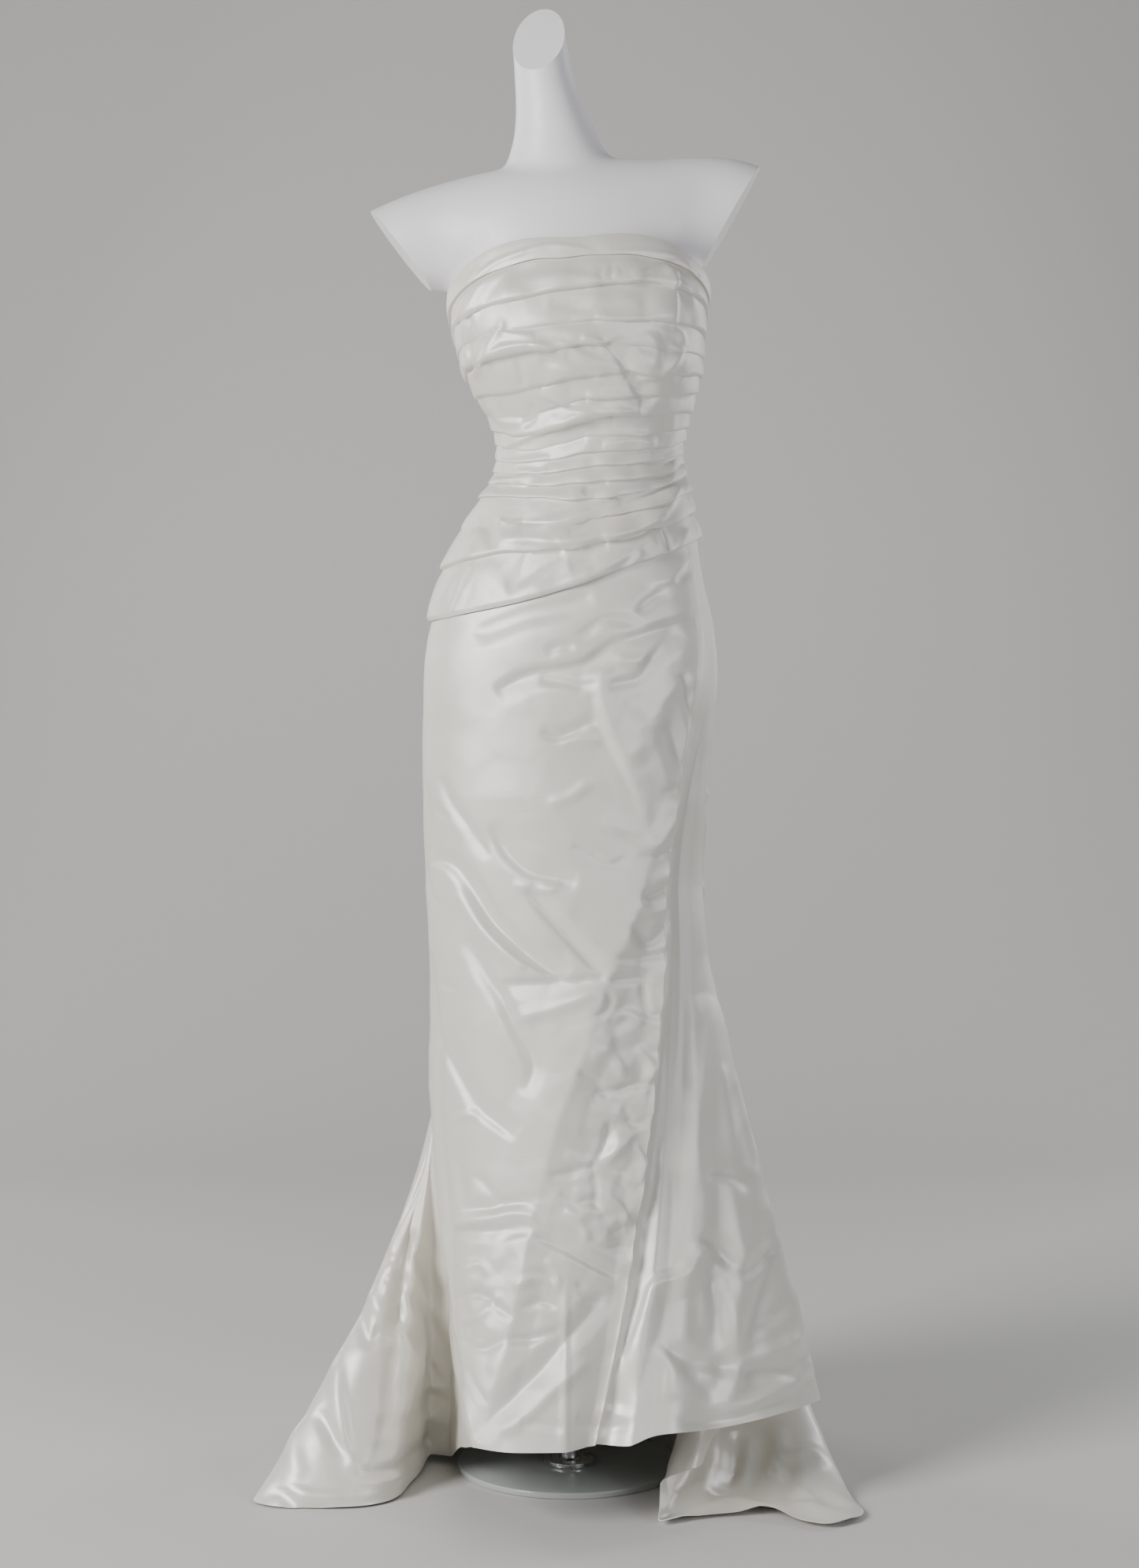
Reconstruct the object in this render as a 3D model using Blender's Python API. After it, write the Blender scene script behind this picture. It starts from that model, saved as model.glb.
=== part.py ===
"""Strapless mermaid gown with a short train, on a limbless dress form with a rod stand.

Metres, +Z up. The gown's front faces -Y, and the origin is on the floor under the form.
A bearing is an angle round the gown in degrees, seen from above: 0 is the front, 90 the side
at +X, 180 the back and -90 the side at -X. Every cloth piece is a closed wall whose outer
points come from a rule and whose inner points are those points moved in by the cloth.
"""

import math

import bmesh
import bpy
import numpy as np
from mathutils import Vector

# Driving sizes
CLOTH = 0.0014
FORM_CLEARANCE = 0.0008
HALF_SEAM_GAP = 0.0002
HIP_SEAM_EASE = 0.0003
FLOOR_CLOTH = 0.0002

# Stand sizes
BASE_RADIUS = 0.140
BASE_THICKNESS = 0.008
BASE_CENTRE_Y = 0.08
ROD_RADIUS = 0.0125
ROD_Y = 0.07
FLANGE_RADIUS = 0.032
FLANGE_THICKNESS = 0.006
FLANGE_TAPER = 0.004
PART_GAP = 0.0003
STAND_SIDES = 32

# Form sizes
FORM_FOOT_Z = 0.83
FORM_SIDES = 44
FORM_ROWS = 27
FORM_EASE = 0.0024
SHOULDER_RINGS = 19
OVAL_SIDES = 28
NECK_CUT_CENTRE = (-0.037, 0.0, 1.755)
NECK_CUT_NORMAL = (-0.467, -1.10, 1.0)
LEFT_ARM_CUT = ((-0.192, 0.0, 1.491), (-0.79, -0.05, -0.61))
RIGHT_ARM_CUT = ((0.192, 0.0, 1.540), (0.870, -0.05, -0.490))

# The body under the cloth: one row a level, with its half width and its depths before and behind
BODY_COLUMNS = ("z", "centre", "half_width", "front", "back", "squareness")
BODY = (
    (0.450, 0.0000, 0.1680, 0.138, 0.150, 2.0),
    (0.560, 0.0000, 0.1675, 0.136, 0.146, 2.0),
    (0.660, -0.0010, 0.1660, 0.131, 0.140, 2.0),
    (0.750, -0.0060, 0.1645, 0.127, 0.134, 2.0),
    (0.850, -0.0060, 0.1680, 0.124, 0.131, 2.05),
    (0.930, -0.0010, 0.1720, 0.122, 0.133, 2.1),
    (1.000, 0.0025, 0.1735, 0.119, 0.134, 2.15),
    (1.055, 0.0030, 0.1680, 0.115, 0.128, 2.15),
    (1.105, 0.0030, 0.1570, 0.109, 0.115, 2.1),
    (1.150, 0.0075, 0.1450, 0.102, 0.099, 2.1),
    (1.192, 0.0150, 0.1290, 0.094, 0.084, 2.1),
    (1.230, 0.0215, 0.1130, 0.087, 0.074, 2.05),
    (1.260, 0.0245, 0.1080, 0.084, 0.070, 2.05),
    (1.290, 0.0240, 0.1125, 0.088, 0.073, 2.1),
    (1.330, 0.0200, 0.1285, 0.103, 0.082, 2.3),
    (1.370, 0.0135, 0.1410, 0.118, 0.092, 2.5),
    (1.405, 0.0100, 0.1470, 0.122, 0.098, 2.5),
    (1.440, 0.0105, 0.1510, 0.117, 0.100, 2.4),
    (1.475, 0.0105, 0.1510, 0.108, 0.099, 2.3),
    (1.520, 0.0080, 0.1400, 0.096, 0.092, 2.2),
    (1.555, 0.0040, 0.1100, 0.076, 0.080, 2.1),
    (1.585, -0.0020, 0.0700, 0.050, 0.058, 2.0),
    (1.600, -0.0060, 0.0400, 0.034, 0.042, 2.0),
)

# How far the form draws in from the cloth below the bodice
FORM_INSET_COLUMNS = ("z", "inset")
FORM_INSET = (
    (0.830, 0.040),
    (0.900, 0.026),
    (0.960, 0.013),
    (1.020, 0.005),
    (1.055, 0.000),
    (1.620, 0.000),
)

# The shoulder bar across the form, cut off at both ends, and the neck that leans to -X
SHOULDER_COLUMNS = ("x", "y", "z", "half_depth", "half_height")
SHOULDERS = (
    (-0.250, 0.004, 1.500, 0.045, 0.046),
    (-0.200, 0.006, 1.510, 0.055, 0.058),
    (-0.155, 0.006, 1.520, 0.062, 0.063),
    (-0.115, 0.004, 1.518, 0.074, 0.075),
    (-0.060, 0.000, 1.505, 0.090, 0.098),
    (0.000, -0.002, 1.500, 0.096, 0.110),
    (0.060, 0.000, 1.505, 0.090, 0.107),
    (0.115, 0.004, 1.529, 0.075, 0.084),
    (0.155, 0.006, 1.5455, 0.062, 0.070),
    (0.200, 0.006, 1.553, 0.055, 0.059),
    (0.250, 0.004, 1.550, 0.045, 0.046),
)
NECK_COLUMNS = ("z", "x", "y", "half_width", "half_depth")
NECK = (
    (1.540, -0.004, 0.004, 0.085, 0.064),
    (1.575, -0.006, 0.005, 0.074, 0.059),
    (1.605, -0.011, 0.006, 0.065, 0.054),
    (1.635, -0.0155, 0.006, 0.052, 0.050),
    (1.665, -0.021, 0.005, 0.0435, 0.047),
    (1.700, -0.0285, 0.003, 0.0370, 0.044),
    (1.750, -0.0355, 0.000, 0.0330, 0.041),
    (1.830, -0.046, -0.004, 0.0300, 0.038),
)

# The edges of the bodice's soft pleats: their heights at six bearings, and how far each stands out.
# The first is the neckline, and the last is the slanting seam that carries the skirt.
PLEAT_BEARINGS = (-90, -45, 0, 45, 90, 180)
PLEAT_COLUMNS = ("left", "left_front", "centre", "right_front", "right", "back", "depth")
PLEATS = (
    (1.442, 1.500, 1.508, 1.509, 1.456, 1.428, 0.0030),
    (1.417, 1.471, 1.485, 1.484, 1.440, 1.404, 0.0030),
    (1.394, 1.428, 1.447, 1.454, 1.421, 1.384, 0.0045),
    (1.370, 1.396, 1.407, 1.410, 1.396, 1.364, 0.0035),
    (1.348, 1.368, 1.381, 1.378, 1.373, 1.344, 0.0040),
    (1.327, 1.328, 1.345, 1.349, 1.352, 1.324, 0.0035),
    (1.308, 1.302, 1.321, 1.324, 1.332, 1.305, 0.0030),
    (1.289, 1.281, 1.299, 1.302, 1.311, 1.287, 0.0035),
    (1.271, 1.263, 1.278, 1.281, 1.292, 1.270, 0.0030),
    (1.255, 1.248, 1.259, 1.263, 1.276, 1.254, 0.0028),
    (1.240, 1.234, 1.242, 1.248, 1.262, 1.238, 0.0028),
    (1.226, 1.221, 1.223, 1.231, 1.250, 1.221, 0.0032),
    (1.208, 1.208, 1.203, 1.215, 1.238, 1.202, 0.0036),
    (1.172, 1.176, 1.177, 1.196, 1.219, 1.176, 0.0042),
    (1.122, 1.140, 1.146, 1.169, 1.193, 1.145, 0.0045),
    (1.060, 1.076, 1.102, 1.134, 1.163, 1.110, 0.0045),
)

# A pleat's section from its upper edge to its lower one: share of its height, share of its depth
PLEAT_SECTION = ((0.0, 0.10), (0.45, 0.80), (0.88, 1.00))
BACK_PLEAT_SECTION = ((0.0, 0.15), (0.80, 1.00))
BAND_SECTION = ((0.0, 0.45), (0.35, 1.00), (0.75, 0.90), (1.0, 0.35))
BAND_LIFT = 0.0018

# The bearings of the bodice's wall columns: the front, the right back and the left back
BODICE_SPREADS = (np.linspace(-90, 90, 23), np.linspace(90, 180, 10), np.linspace(180, 270, 10))

# The skirt: one row a fold, from the left side seam across the front to the right and round the back.
# Each falls from the hip seam along the body to its knee, then swings out to its own place at the hem.
# Steps is the number of wall columns from this fold to the next.
SKIRT_COLUMNS = (
    "fold", "steps", "hip_bearing", "knee_bearing", "knee_z",
    "pull_x", "pull_y", "pull_z", "hem_x", "hem_y", "hem_z",
)
SKIRT = (
    ("left seam in its valley", 1, -97, -98, 0.50, 0.022, 0.010, 0.26, -0.150, 0.082, 0.012),
    ("valley's front wall", 2, -91, -91, 0.50, 0.018, 0.020, 0.28, -0.138, 0.005, 0.045),
    ("valley's mouth", 2, -86, -84, 0.50, 0.012, 0.010, 0.30, -0.122, -0.095, 0.075),
    ("front's left edge", 5, -78, -76, 0.50, 0.006, 0.000, 0.30, -0.107, -0.190, 0.102),
    ("front, left third", 5, -42, -34, 0.52, 0.000, 0.000, 0.32, -0.062, -0.208, 0.101),
    ("front, right third", 7, 0, 0, 0.54, 0.000, 0.000, 0.32, -0.012, -0.206, 0.101),
    ("right seam in its hollow", 2, 70, 43, 0.57, 0.000, 0.012, 0.34, 0.030, -0.176, 0.102),
    ("ridge beside the hollow", 2, 76, 54, 0.60, 0.004, -0.004, 0.36, 0.072, -0.204, 0.110),
    ("front hem's right part", 2, 81, 63, 0.62, 0.006, 0.000, 0.38, 0.112, -0.190, 0.118),
    ("right flare, dip", 2, 85, 71, 0.64, 0.012, 0.006, 0.42, 0.180, -0.140, 0.112),
    ("right flare, ridge", 2, 89, 79, 0.66, 0.016, 0.000, 0.48, 0.252, -0.095, 0.116),
    ("right corner", 2, 93, 88, 0.66, 0.020, 0.000, 0.54, 0.3075, -0.030, 0.117),
    ("tucked under", 2, 97, 93, 0.66, 0.012, -0.004, 0.40, 0.240, -0.002, 0.106),
    ("tucked further", 2, 100, 97, 0.66, 0.004, -0.012, 0.30, 0.190, -0.020, 0.084),
    ("tuck's inner side", 2, 103, 100, 0.66, -0.027, -0.026, 0.22, 0.160, -0.086, 0.052),
    ("tuck's turning", 2, 106, 103, 0.66, -0.038, -0.005, 0.05, 0.108, -0.104, 0.034),
    ("puddle's near corner", 2, 109, 106, 0.66, -0.012, 0.114, 0.02, 0.108, -0.162, 0.008),
    ("puddle's first dip", 2, 113, 110, 0.66, 0.008, 0.135, 0.00, 0.172, -0.132, 0.003),
    ("puddle's middle", 2, 118, 114, 0.66, 0.034, 0.145, 0.00, 0.225, -0.125, 0.003),
    ("puddle's front", 2, 123, 118, 0.66, 0.078, 0.140, 0.00, 0.300, -0.172, 0.003),
    ("puddle's outer corner", 2, 128, 122, 0.66, 0.100, 0.120, 0.00, 0.350, -0.118, 0.003),
    ("train's right edge", 2, 134, 128, 0.70, 0.085, 0.100, 0.06, 0.325, 0.030, 0.003),
    ("train's right side", 3, 142, 138, 0.76, 0.060, 0.100, 0.08, 0.285, 0.240, 0.003),
    ("train's right rear", 4, 160, 158, 0.82, 0.040, 0.080, 0.08, 0.200, 0.520, 0.003),
    ("centre back seam", 4, 180, 180, 0.84, 0.000, 0.090, 0.08, 0.000, 0.610, 0.003),
    ("train's left rear", 3, 200, 202, 0.82, -0.040, 0.080, 0.08, -0.225, 0.510, 0.003),
    ("train's left side", 2, 218, 226, 0.66, -0.040, 0.060, 0.16, -0.338, 0.240, 0.003),
    ("train's left edge", 2, 228, 242, 0.60, -0.014, 0.020, 0.30, -0.356, 0.060, 0.003),
    ("left corner", 2, 236, 244, 0.56, -0.008, 0.000, 0.33, -0.382, -0.068, 0.003),
    ("left piece's front", 2, 242, 248, 0.54, -0.014, 0.000, 0.32, -0.322, -0.100, 0.003),
    ("left piece's middle", 1, 247, 251, 0.52, -0.014, 0.006, 0.30, -0.262, -0.096, 0.003),
    ("left piece's curl", 1, 251, 254, 0.51, -0.018, 0.014, 0.29, -0.211, -0.066, 0.003),
    ("left piece's return", 1, 255, 257, 0.50, -0.012, 0.020, 0.28, -0.191, 0.020, 0.005),
    ("left piece's inner side", 1, 259, 260, 0.50, 0.002, 0.018, 0.27, -0.176, 0.094, 0.011),
)
LEFT_SEAM = 0
RIGHT_SEAM = 6
BACK_SEAM = 24
SKIRT_BODY_ROWS = 8
SKIRT_BODY_CROWDING = 1.35
SKIRT_FLARE_ROWS = 11

# The long pressed crease down the front, as places across and up the gown
FRONT_CREASE_COLUMNS = ("x", "z")
FRONT_CREASE = (
    (0.040, 1.010),
    (0.075, 0.905),
    (0.098, 0.830),
    (0.090, 0.745),
    (0.045, 0.625),
    (-0.010, 0.480),
    (-0.036, 0.355),
    (-0.060, 0.180),
)
CREASE_HEIGHT = 0.006
CREASE_REACH = 0.030


def bounded_slopes(knots, values):
    """Slopes that keep a curve between its knots from running past them."""
    steps = np.diff(values) / np.diff(knots)
    before, after = steps[:-1], steps[1:]
    same_way = before * after > 0
    total = np.where(same_way, before + after, 1)
    middle = np.where(same_way, 2 * before * after / total, 0)
    return np.concatenate([steps[:1], middle, steps[-1:]])


def hermite(knots, values, at, bounded=False):
    """A smooth curve through a table's column, flat past the table's ends."""
    knots = np.asarray(knots, float)
    values = np.asarray(values, float)
    slopes = bounded_slopes(knots, values) if bounded else np.gradient(values, knots)
    at = np.clip(at, knots[0], knots[-1])
    i = np.clip(np.searchsorted(knots, at) - 1, 0, len(knots) - 2)
    step = knots[i + 1] - knots[i]
    t = (at - knots[i]) / step
    start = (1 + 2 * t) * (1 - t) ** 2 * values[i] + t * (1 - t) ** 2 * step * slopes[i]
    end = t * t * (3 - 2 * t) * values[i + 1] + t * t * (t - 1) * step * slopes[i + 1]
    return start + end


def round_the_gown(bearings, values, at):
    """A smooth closed curve through values given at bearings in degrees."""
    turns = np.concatenate([np.array(bearings) + turn for turn in (-360, 0, 360)])
    return hermite(turns, np.tile(values, 3), (np.asarray(at, float) + 180) % 360 - 180)


def column(table, columns, name):
    """One named column of a table, as an array."""
    return np.array([row[columns.index(name)] for row in table], float)


def body_point(z, bearing, out):
    """The point of the body's surface at a height and bearing, moved straight out."""
    heights = column(BODY, BODY_COLUMNS, "z")
    centre, half_width, front, back, squareness = (
        hermite(heights, column(BODY, BODY_COLUMNS, name), z) for name in BODY_COLUMNS[1:]
    )
    sine = np.sin(np.radians(bearing))
    cosine = np.cos(np.radians(bearing))
    depth = np.where(cosine > 0, front, back)
    across = (np.abs(sine) / half_width) ** squareness
    along = (np.abs(cosine) / depth) ** squareness
    reach = (across + along) ** (-1 / squareness) + out
    return np.stack([centre + reach * sine, -reach * cosine, z + 0 * reach], axis=-1)


def pleat_edge(edge, bearing):
    """The height of one pleat edge at a bearing."""
    return round_the_gown(PLEAT_BEARINGS, PLEATS[edge][:-1], bearing)


def surface_normals(points, closed):
    """Unit normals of a grid of points whose columns run round and whose rows run down."""
    if closed:
        around = np.roll(points, -1, axis=1) - np.roll(points, 1, axis=1)
    else:
        around = np.gradient(points, axis=1)
    normals = np.cross(np.gradient(points, axis=0), around)
    return normals / np.linalg.norm(normals, axis=-1, keepdims=True)


def add_object(name, mesh, material):
    """A new object for a mesh, with its material."""
    made = bpy.data.objects.new(name, mesh)
    mesh.materials.append(material)
    bpy.context.scene.collection.objects.link(made)
    return made


def wall_object(name, outer, inner, material, closed=False):
    """A closed wall between two grids of points. A closed one joins its last column to its first.

    Each cell is cut along its shorter diagonal, the same way on both sides, so a twisted cell
    keeps its thickness.
    """
    rows, columns = outer.shape[:2]
    size = rows * columns

    def at(row, col, side):
        return side * size + row * columns + col % columns

    spans = columns if closed else columns - 1
    points = np.concatenate([outer, inner]).reshape(-1, 3)
    faces = []
    for row in range(rows - 1):
        for col in range(spans):
            a, b = at(row, col, 0), at(row + 1, col, 0)
            c, d = at(row + 1, col + 1, 0), at(row, col + 1, 0)
            down = np.linalg.norm(points[a] - points[c])
            up = np.linalg.norm(points[b] - points[d])
            for outside in ([a, b, c], [a, c, d]) if down < up else ([a, b, d], [b, c, d]):
                faces.append(outside)
                faces.append([corner + size for corner in reversed(outside)])
    for col in range(spans):
        faces.append([at(0, col + 1, 0), at(0, col + 1, 1), at(0, col, 1), at(0, col, 0)])
        last = rows - 1
        faces.append([at(last, col, 0), at(last, col, 1), at(last, col + 1, 1), at(last, col + 1, 0)])
    if not closed:
        for row in range(rows - 1):
            faces.append([at(row, 0, 0), at(row, 0, 1), at(row + 1, 0, 1), at(row + 1, 0, 0)])
            last = columns - 1
            faces.append([at(row + 1, last, 0), at(row + 1, last, 1), at(row, last, 1), at(row, last, 0)])
    mesh = bpy.data.meshes.new(name)
    mesh.from_pydata(points.tolist(), [], faces)
    mesh.validate()
    mesh.shade_smooth()
    mesh.set_sharp_from_angle(angle=math.radians(50))
    return add_object(name, mesh, material)


def drawn_in(points, left, right, top=False, bottom=False):
    """A panel's points with the stated edges moved inwards by half a seam's gap."""
    points = points.copy()
    edges = (
        (left, points[:, 0], points[:, 1]),
        (right, points[:, -1], points[:, -2]),
        (top, points[0], points[1]),
        (bottom, points[-1], points[-2]),
    )
    for wanted, edge, inside in edges:
        if wanted:
            way = inside - edge
            edge += way / np.linalg.norm(way, axis=-1, keepdims=True) * HALF_SEAM_GAP
    return points


def panel(name, outer, inner, material, top=True, bottom=True):
    """A sewn panel: the wall between two grids, drawn in at its side seams and where top and bottom say."""
    edges = {"left": True, "right": True, "top": top, "bottom": bottom}
    return wall_object(name, drawn_in(outer, **edges), drawn_in(inner, **edges), material)


def pleated_grid(first, last, bearings, section):
    """Outer and inner points of the bodice from one pleat edge to another, over the bearings."""
    outer, inner = [], []
    inside = FORM_CLEARANCE
    for edge in range(first, last):
        upper = pleat_edge(edge, bearings)
        lower = pleat_edge(edge + 1, bearings)
        for share, lift in section:
            z = upper + (lower - upper) * share
            outer.append(body_point(z, bearings, inside + CLOTH + lift * PLEATS[edge][-1]))
            inner.append(body_point(z, bearings, inside))
    z = pleat_edge(last, bearings)
    outer.append(body_point(z, bearings, inside + CLOTH + PLEATS[last][-1] / 2))
    inner.append(body_point(z, bearings, inside))
    return np.array(outer), np.array(inner)


def make_bodice(material):
    """The pleated front and the two back halves, which meet at the concealed fastening."""
    last = len(PLEATS) - 1
    names = ("bodice_front", "bodice_back_right", "bodice_back_left")
    sections = (PLEAT_SECTION, BACK_PLEAT_SECTION, BACK_PLEAT_SECTION)
    for name, bearings, section in zip(names, BODICE_SPREADS, sections):
        outer, inner = pleated_grid(1, last, bearings, section)
        panel(name, outer, inner, material)


def make_neckline_band(material):
    """The folded band round the top edge, one closed ring."""
    bearings = np.concatenate([spread[:-1] for spread in BODICE_SPREADS])
    upper = pleat_edge(0, bearings)
    lower = pleat_edge(1, bearings)
    outer, inner = [], []
    for share, lift in BAND_SECTION:
        z = upper + (lower - upper) * share
        outer.append(body_point(z, bearings, FORM_CLEARANCE + CLOTH + BAND_LIFT + lift * PLEATS[0][-1]))
        inner.append(body_point(z, bearings, FORM_CLEARANCE))
    edges = {"left": False, "right": False, "bottom": True}
    wall_object(
        "neckline_band",
        drawn_in(np.array(outer), **edges),
        drawn_in(np.array(inner), **edges),
        material,
        closed=True,
    )


def crease_lift(points):
    """How far the long pressed crease lifts each point of the front."""
    corners = np.array(FRONT_CREASE)
    flat = points[..., (0, 2)]
    nearest = np.full(flat.shape[:-1], np.inf)
    for start, end in zip(corners[:-1], corners[1:]):
        way = end - start
        share = np.clip((flat - start) @ way / (way @ way), 0, 1)
        nearest = np.minimum(nearest, np.linalg.norm(flat - start - share[..., None] * way, axis=-1))
    lift = CREASE_HEIGHT * np.exp(-((nearest / CREASE_REACH) ** 2))
    return np.where(points[..., 1] < 0, lift, 0)


def fold_columns():
    """The first wall column of each fold, and after the last one the number of columns in all."""
    steps = column(SKIRT, SKIRT_COLUMNS, "steps").astype(int)
    return np.concatenate([[0], np.cumsum(steps)])


def skirt_grid():
    """Outer and inner points of the whole skirt: a closed grid, its first column at the left seam."""
    folds = len(SKIRT)
    firsts = fold_columns()
    at = np.interp(np.arange(firsts[-1]), firsts, np.arange(folds + 1))
    knots = np.arange(-folds, 2 * folds)

    def spline(name):
        values = column(SKIRT, SKIRT_COLUMNS, name)
        turns = np.array([-360, 0, 360] if name.endswith("bearing") else [0, 0, 0])
        return hermite(knots, (values + turns[:, None]).ravel(), at, bounded=True)

    hip, knee, knee_z = spline("hip_bearing"), spline("knee_bearing"), spline("knee_z")
    hem = np.stack([spline("hem_x"), spline("hem_y"), spline("hem_z")], axis=-1)
    top_z = pleat_edge(len(PLEATS) - 1, hip) - HIP_SEAM_EASE
    out = FORM_CLEARANCE + CLOTH

    def on_body(share):
        return body_point(top_z + (knee_z - top_z) * share, hip + (knee - hip) * share, out)

    knee_point = on_body(1.0)
    last_step = 0.01
    fall = (knee_point - on_body(1.0 - last_step)) / (last_step * (top_z - knee_z))[:, None]
    pull = knee_point + fall * (knee_z - spline("pull_z"))[:, None]
    pull += np.stack([spline("pull_x"), spline("pull_y"), 0 * at], axis=-1)

    shares = np.linspace(0, 1, SKIRT_BODY_ROWS + 1) ** SKIRT_BODY_CROWDING
    rows = [on_body(share) for share in shares]
    for t in np.linspace(0, 1, SKIRT_FLARE_ROWS + 1)[1:]:
        rows.append((1 - t) ** 2 * knee_point + 2 * t * (1 - t) * pull + t * t * hem)
    outer = np.array(rows)
    normals = surface_normals(outer, closed=True)
    lift = crease_lift(outer)[..., None]
    outer = outer + normals * lift
    inner = outer - normals * CLOTH
    inner[0] = body_point(top_z, hip, FORM_CLEARANCE)
    inner[..., 2] = np.maximum(inner[..., 2], FLOOR_CLOTH)
    outer[..., 2] = np.maximum(outer[..., 2], inner[..., 2])
    return outer, inner


def make_skirt(material):
    """The front panel and the two back panels, which carry the train."""
    outer, inner = skirt_grid()
    outer = np.concatenate([outer, outer[:, :1]], axis=1)
    inner = np.concatenate([inner, inner[:, :1]], axis=1)
    seams = fold_columns()[[LEFT_SEAM, RIGHT_SEAM, BACK_SEAM, len(SKIRT)]]
    names = ("skirt_front", "skirt_back_right", "skirt_back_left")
    for name, first, last in zip(names, seams[:-1], seams[1:]):
        part = slice(first, last + 1)
        panel(name, outer[:, part], inner[:, part], material, bottom=False)


def ring_loft(name, rings):
    """A closed mesh through rings of points, with flat ends."""
    count, sides = rings.shape[:2]
    faces = []
    for ring in range(count - 1):
        for side in range(sides):
            after = (side + 1) % sides
            faces.append([
                ring * sides + side, ring * sides + after,
                (ring + 1) * sides + after, (ring + 1) * sides + side,
            ])
    faces.append(list(reversed(range(sides))))
    faces.append([(count - 1) * sides + side for side in range(sides)])
    mesh = bpy.data.meshes.new(name)
    mesh.from_pydata(rings.reshape(-1, 3).tolist(), [], faces)
    work = bmesh.new()
    work.from_mesh(mesh)
    bmesh.ops.recalc_face_normals(work, faces=work.faces)
    work.to_mesh(mesh)
    work.free()
    return mesh


def cut_off(mesh, point, normal):
    """Cuts away what lies beyond a plane, and closes the cut."""
    work = bmesh.new()
    work.from_mesh(mesh)
    everything = work.verts[:] + work.edges[:] + work.faces[:]
    cut = bmesh.ops.bisect_plane(
        work, geom=everything, plane_co=point, plane_no=Vector(normal).normalized(), clear_outer=True
    )
    rim = [part for part in cut["geom_cut"] if isinstance(part, bmesh.types.BMEdge)]
    bmesh.ops.contextual_create(work, geom=rim)
    bmesh.ops.recalc_face_normals(work, faces=work.faces)
    work.to_mesh(mesh)
    work.free()


def torso_rings():
    """Rings of the torso from its foot to the base of the neck."""
    bearings = np.arange(FORM_SIDES) * 360 / FORM_SIDES
    levels = np.linspace(FORM_FOOT_Z, BODY[-1][0], FORM_ROWS)
    heights, insets = (column(FORM_INSET, FORM_INSET_COLUMNS, name) for name in FORM_INSET_COLUMNS)
    insets = FORM_EASE + hermite(heights, insets, levels, bounded=True)
    return np.array([body_point(np.full(FORM_SIDES, z), bearings, -inset) for z, inset in zip(levels, insets)])


def shoulder_rings():
    """Upright oval rings from the left arm's end to the right arm's end."""
    table = column(SHOULDERS, SHOULDER_COLUMNS, "x")
    places = np.linspace(table[0], table[-1], SHOULDER_RINGS)
    y, z, half_depth, half_height = (
        hermite(table, column(SHOULDERS, SHOULDER_COLUMNS, name), places) for name in SHOULDER_COLUMNS[1:]
    )
    turns = np.radians(np.arange(OVAL_SIDES) * 360 / OVAL_SIDES)[:, None]
    rings = (places + 0 * turns, y + half_depth * np.cos(turns), z + half_height * np.sin(turns))
    return np.stack(rings, axis=-1).swapaxes(0, 1)


def neck_rings():
    """Level oval rings up the leaning neck."""
    z, x, y, half_width, half_depth = (column(NECK, NECK_COLUMNS, name) for name in NECK_COLUMNS)
    turns = np.radians(np.arange(OVAL_SIDES) * 360 / OVAL_SIDES)[:, None]
    rings = (x + half_width * np.cos(turns), y + half_depth * np.sin(turns), z + 0 * turns)
    return np.stack(rings, axis=-1).swapaxes(0, 1)


def make_form(material):
    """The smooth limbless form: torso, shoulder bar and neck made one by union, each end cut off flat."""
    form = add_object("dress_form", ring_loft("dress_form", torso_rings()), material)
    shoulders = ring_loft("shoulder_guide", shoulder_rings())
    cut_off(shoulders, *LEFT_ARM_CUT)
    cut_off(shoulders, *RIGHT_ARM_CUT)
    neck = ring_loft("neck_guide", neck_rings())
    cut_off(neck, NECK_CUT_CENTRE, NECK_CUT_NORMAL)
    for mesh in (shoulders, neck):
        guide = add_object(mesh.name, mesh, material)
        guide.hide_render = True
        guide.display_type = "WIRE"
        union = form.modifiers.new("join_" + mesh.name, "BOOLEAN")
        union.operation = "UNION"
        union.object = guide


def turned(name, profile, centre_y, material):
    """A solid turned about an upright axis, from a profile of radius and height, bottom to top."""
    turns = np.radians(np.arange(STAND_SIDES) * 360 / STAND_SIDES)
    rings = []
    for radius, z in profile:
        rings.append(np.stack(
            [radius * np.cos(turns), centre_y + radius * np.sin(turns), np.full(STAND_SIDES, z)], axis=-1
        ))
    return add_object(name, ring_loft(name, np.array(rings)), material)


def make_stand(glass, steel):
    """A glass disc on the floor, and the steel rod that carries the form."""
    turned("stand_base", ((BASE_RADIUS, 0.0), (BASE_RADIUS, BASE_THICKNESS)), BASE_CENTRE_Y, glass)
    foot = BASE_THICKNESS + PART_GAP
    shoulder = foot + FLANGE_THICKNESS
    top = FORM_FOOT_Z - PART_GAP
    neck = shoulder + FLANGE_TAPER
    profile = ((FLANGE_RADIUS, foot), (FLANGE_RADIUS, shoulder), (ROD_RADIUS, neck), (ROD_RADIUS, top))
    turned("stand_rod", profile, ROD_Y, steel)


def make_material(name, colour, roughness, metallic=0.0):
    """A plain finish in the part's colour."""
    material = bpy.data.materials.new(name)
    material.use_nodes = True
    shader = material.node_tree.nodes["Principled BSDF"]
    shader.inputs["Base Color"].default_value = (*colour, 1.0)
    shader.inputs["Roughness"].default_value = roughness
    shader.inputs["Metallic"].default_value = metallic
    return material


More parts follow.
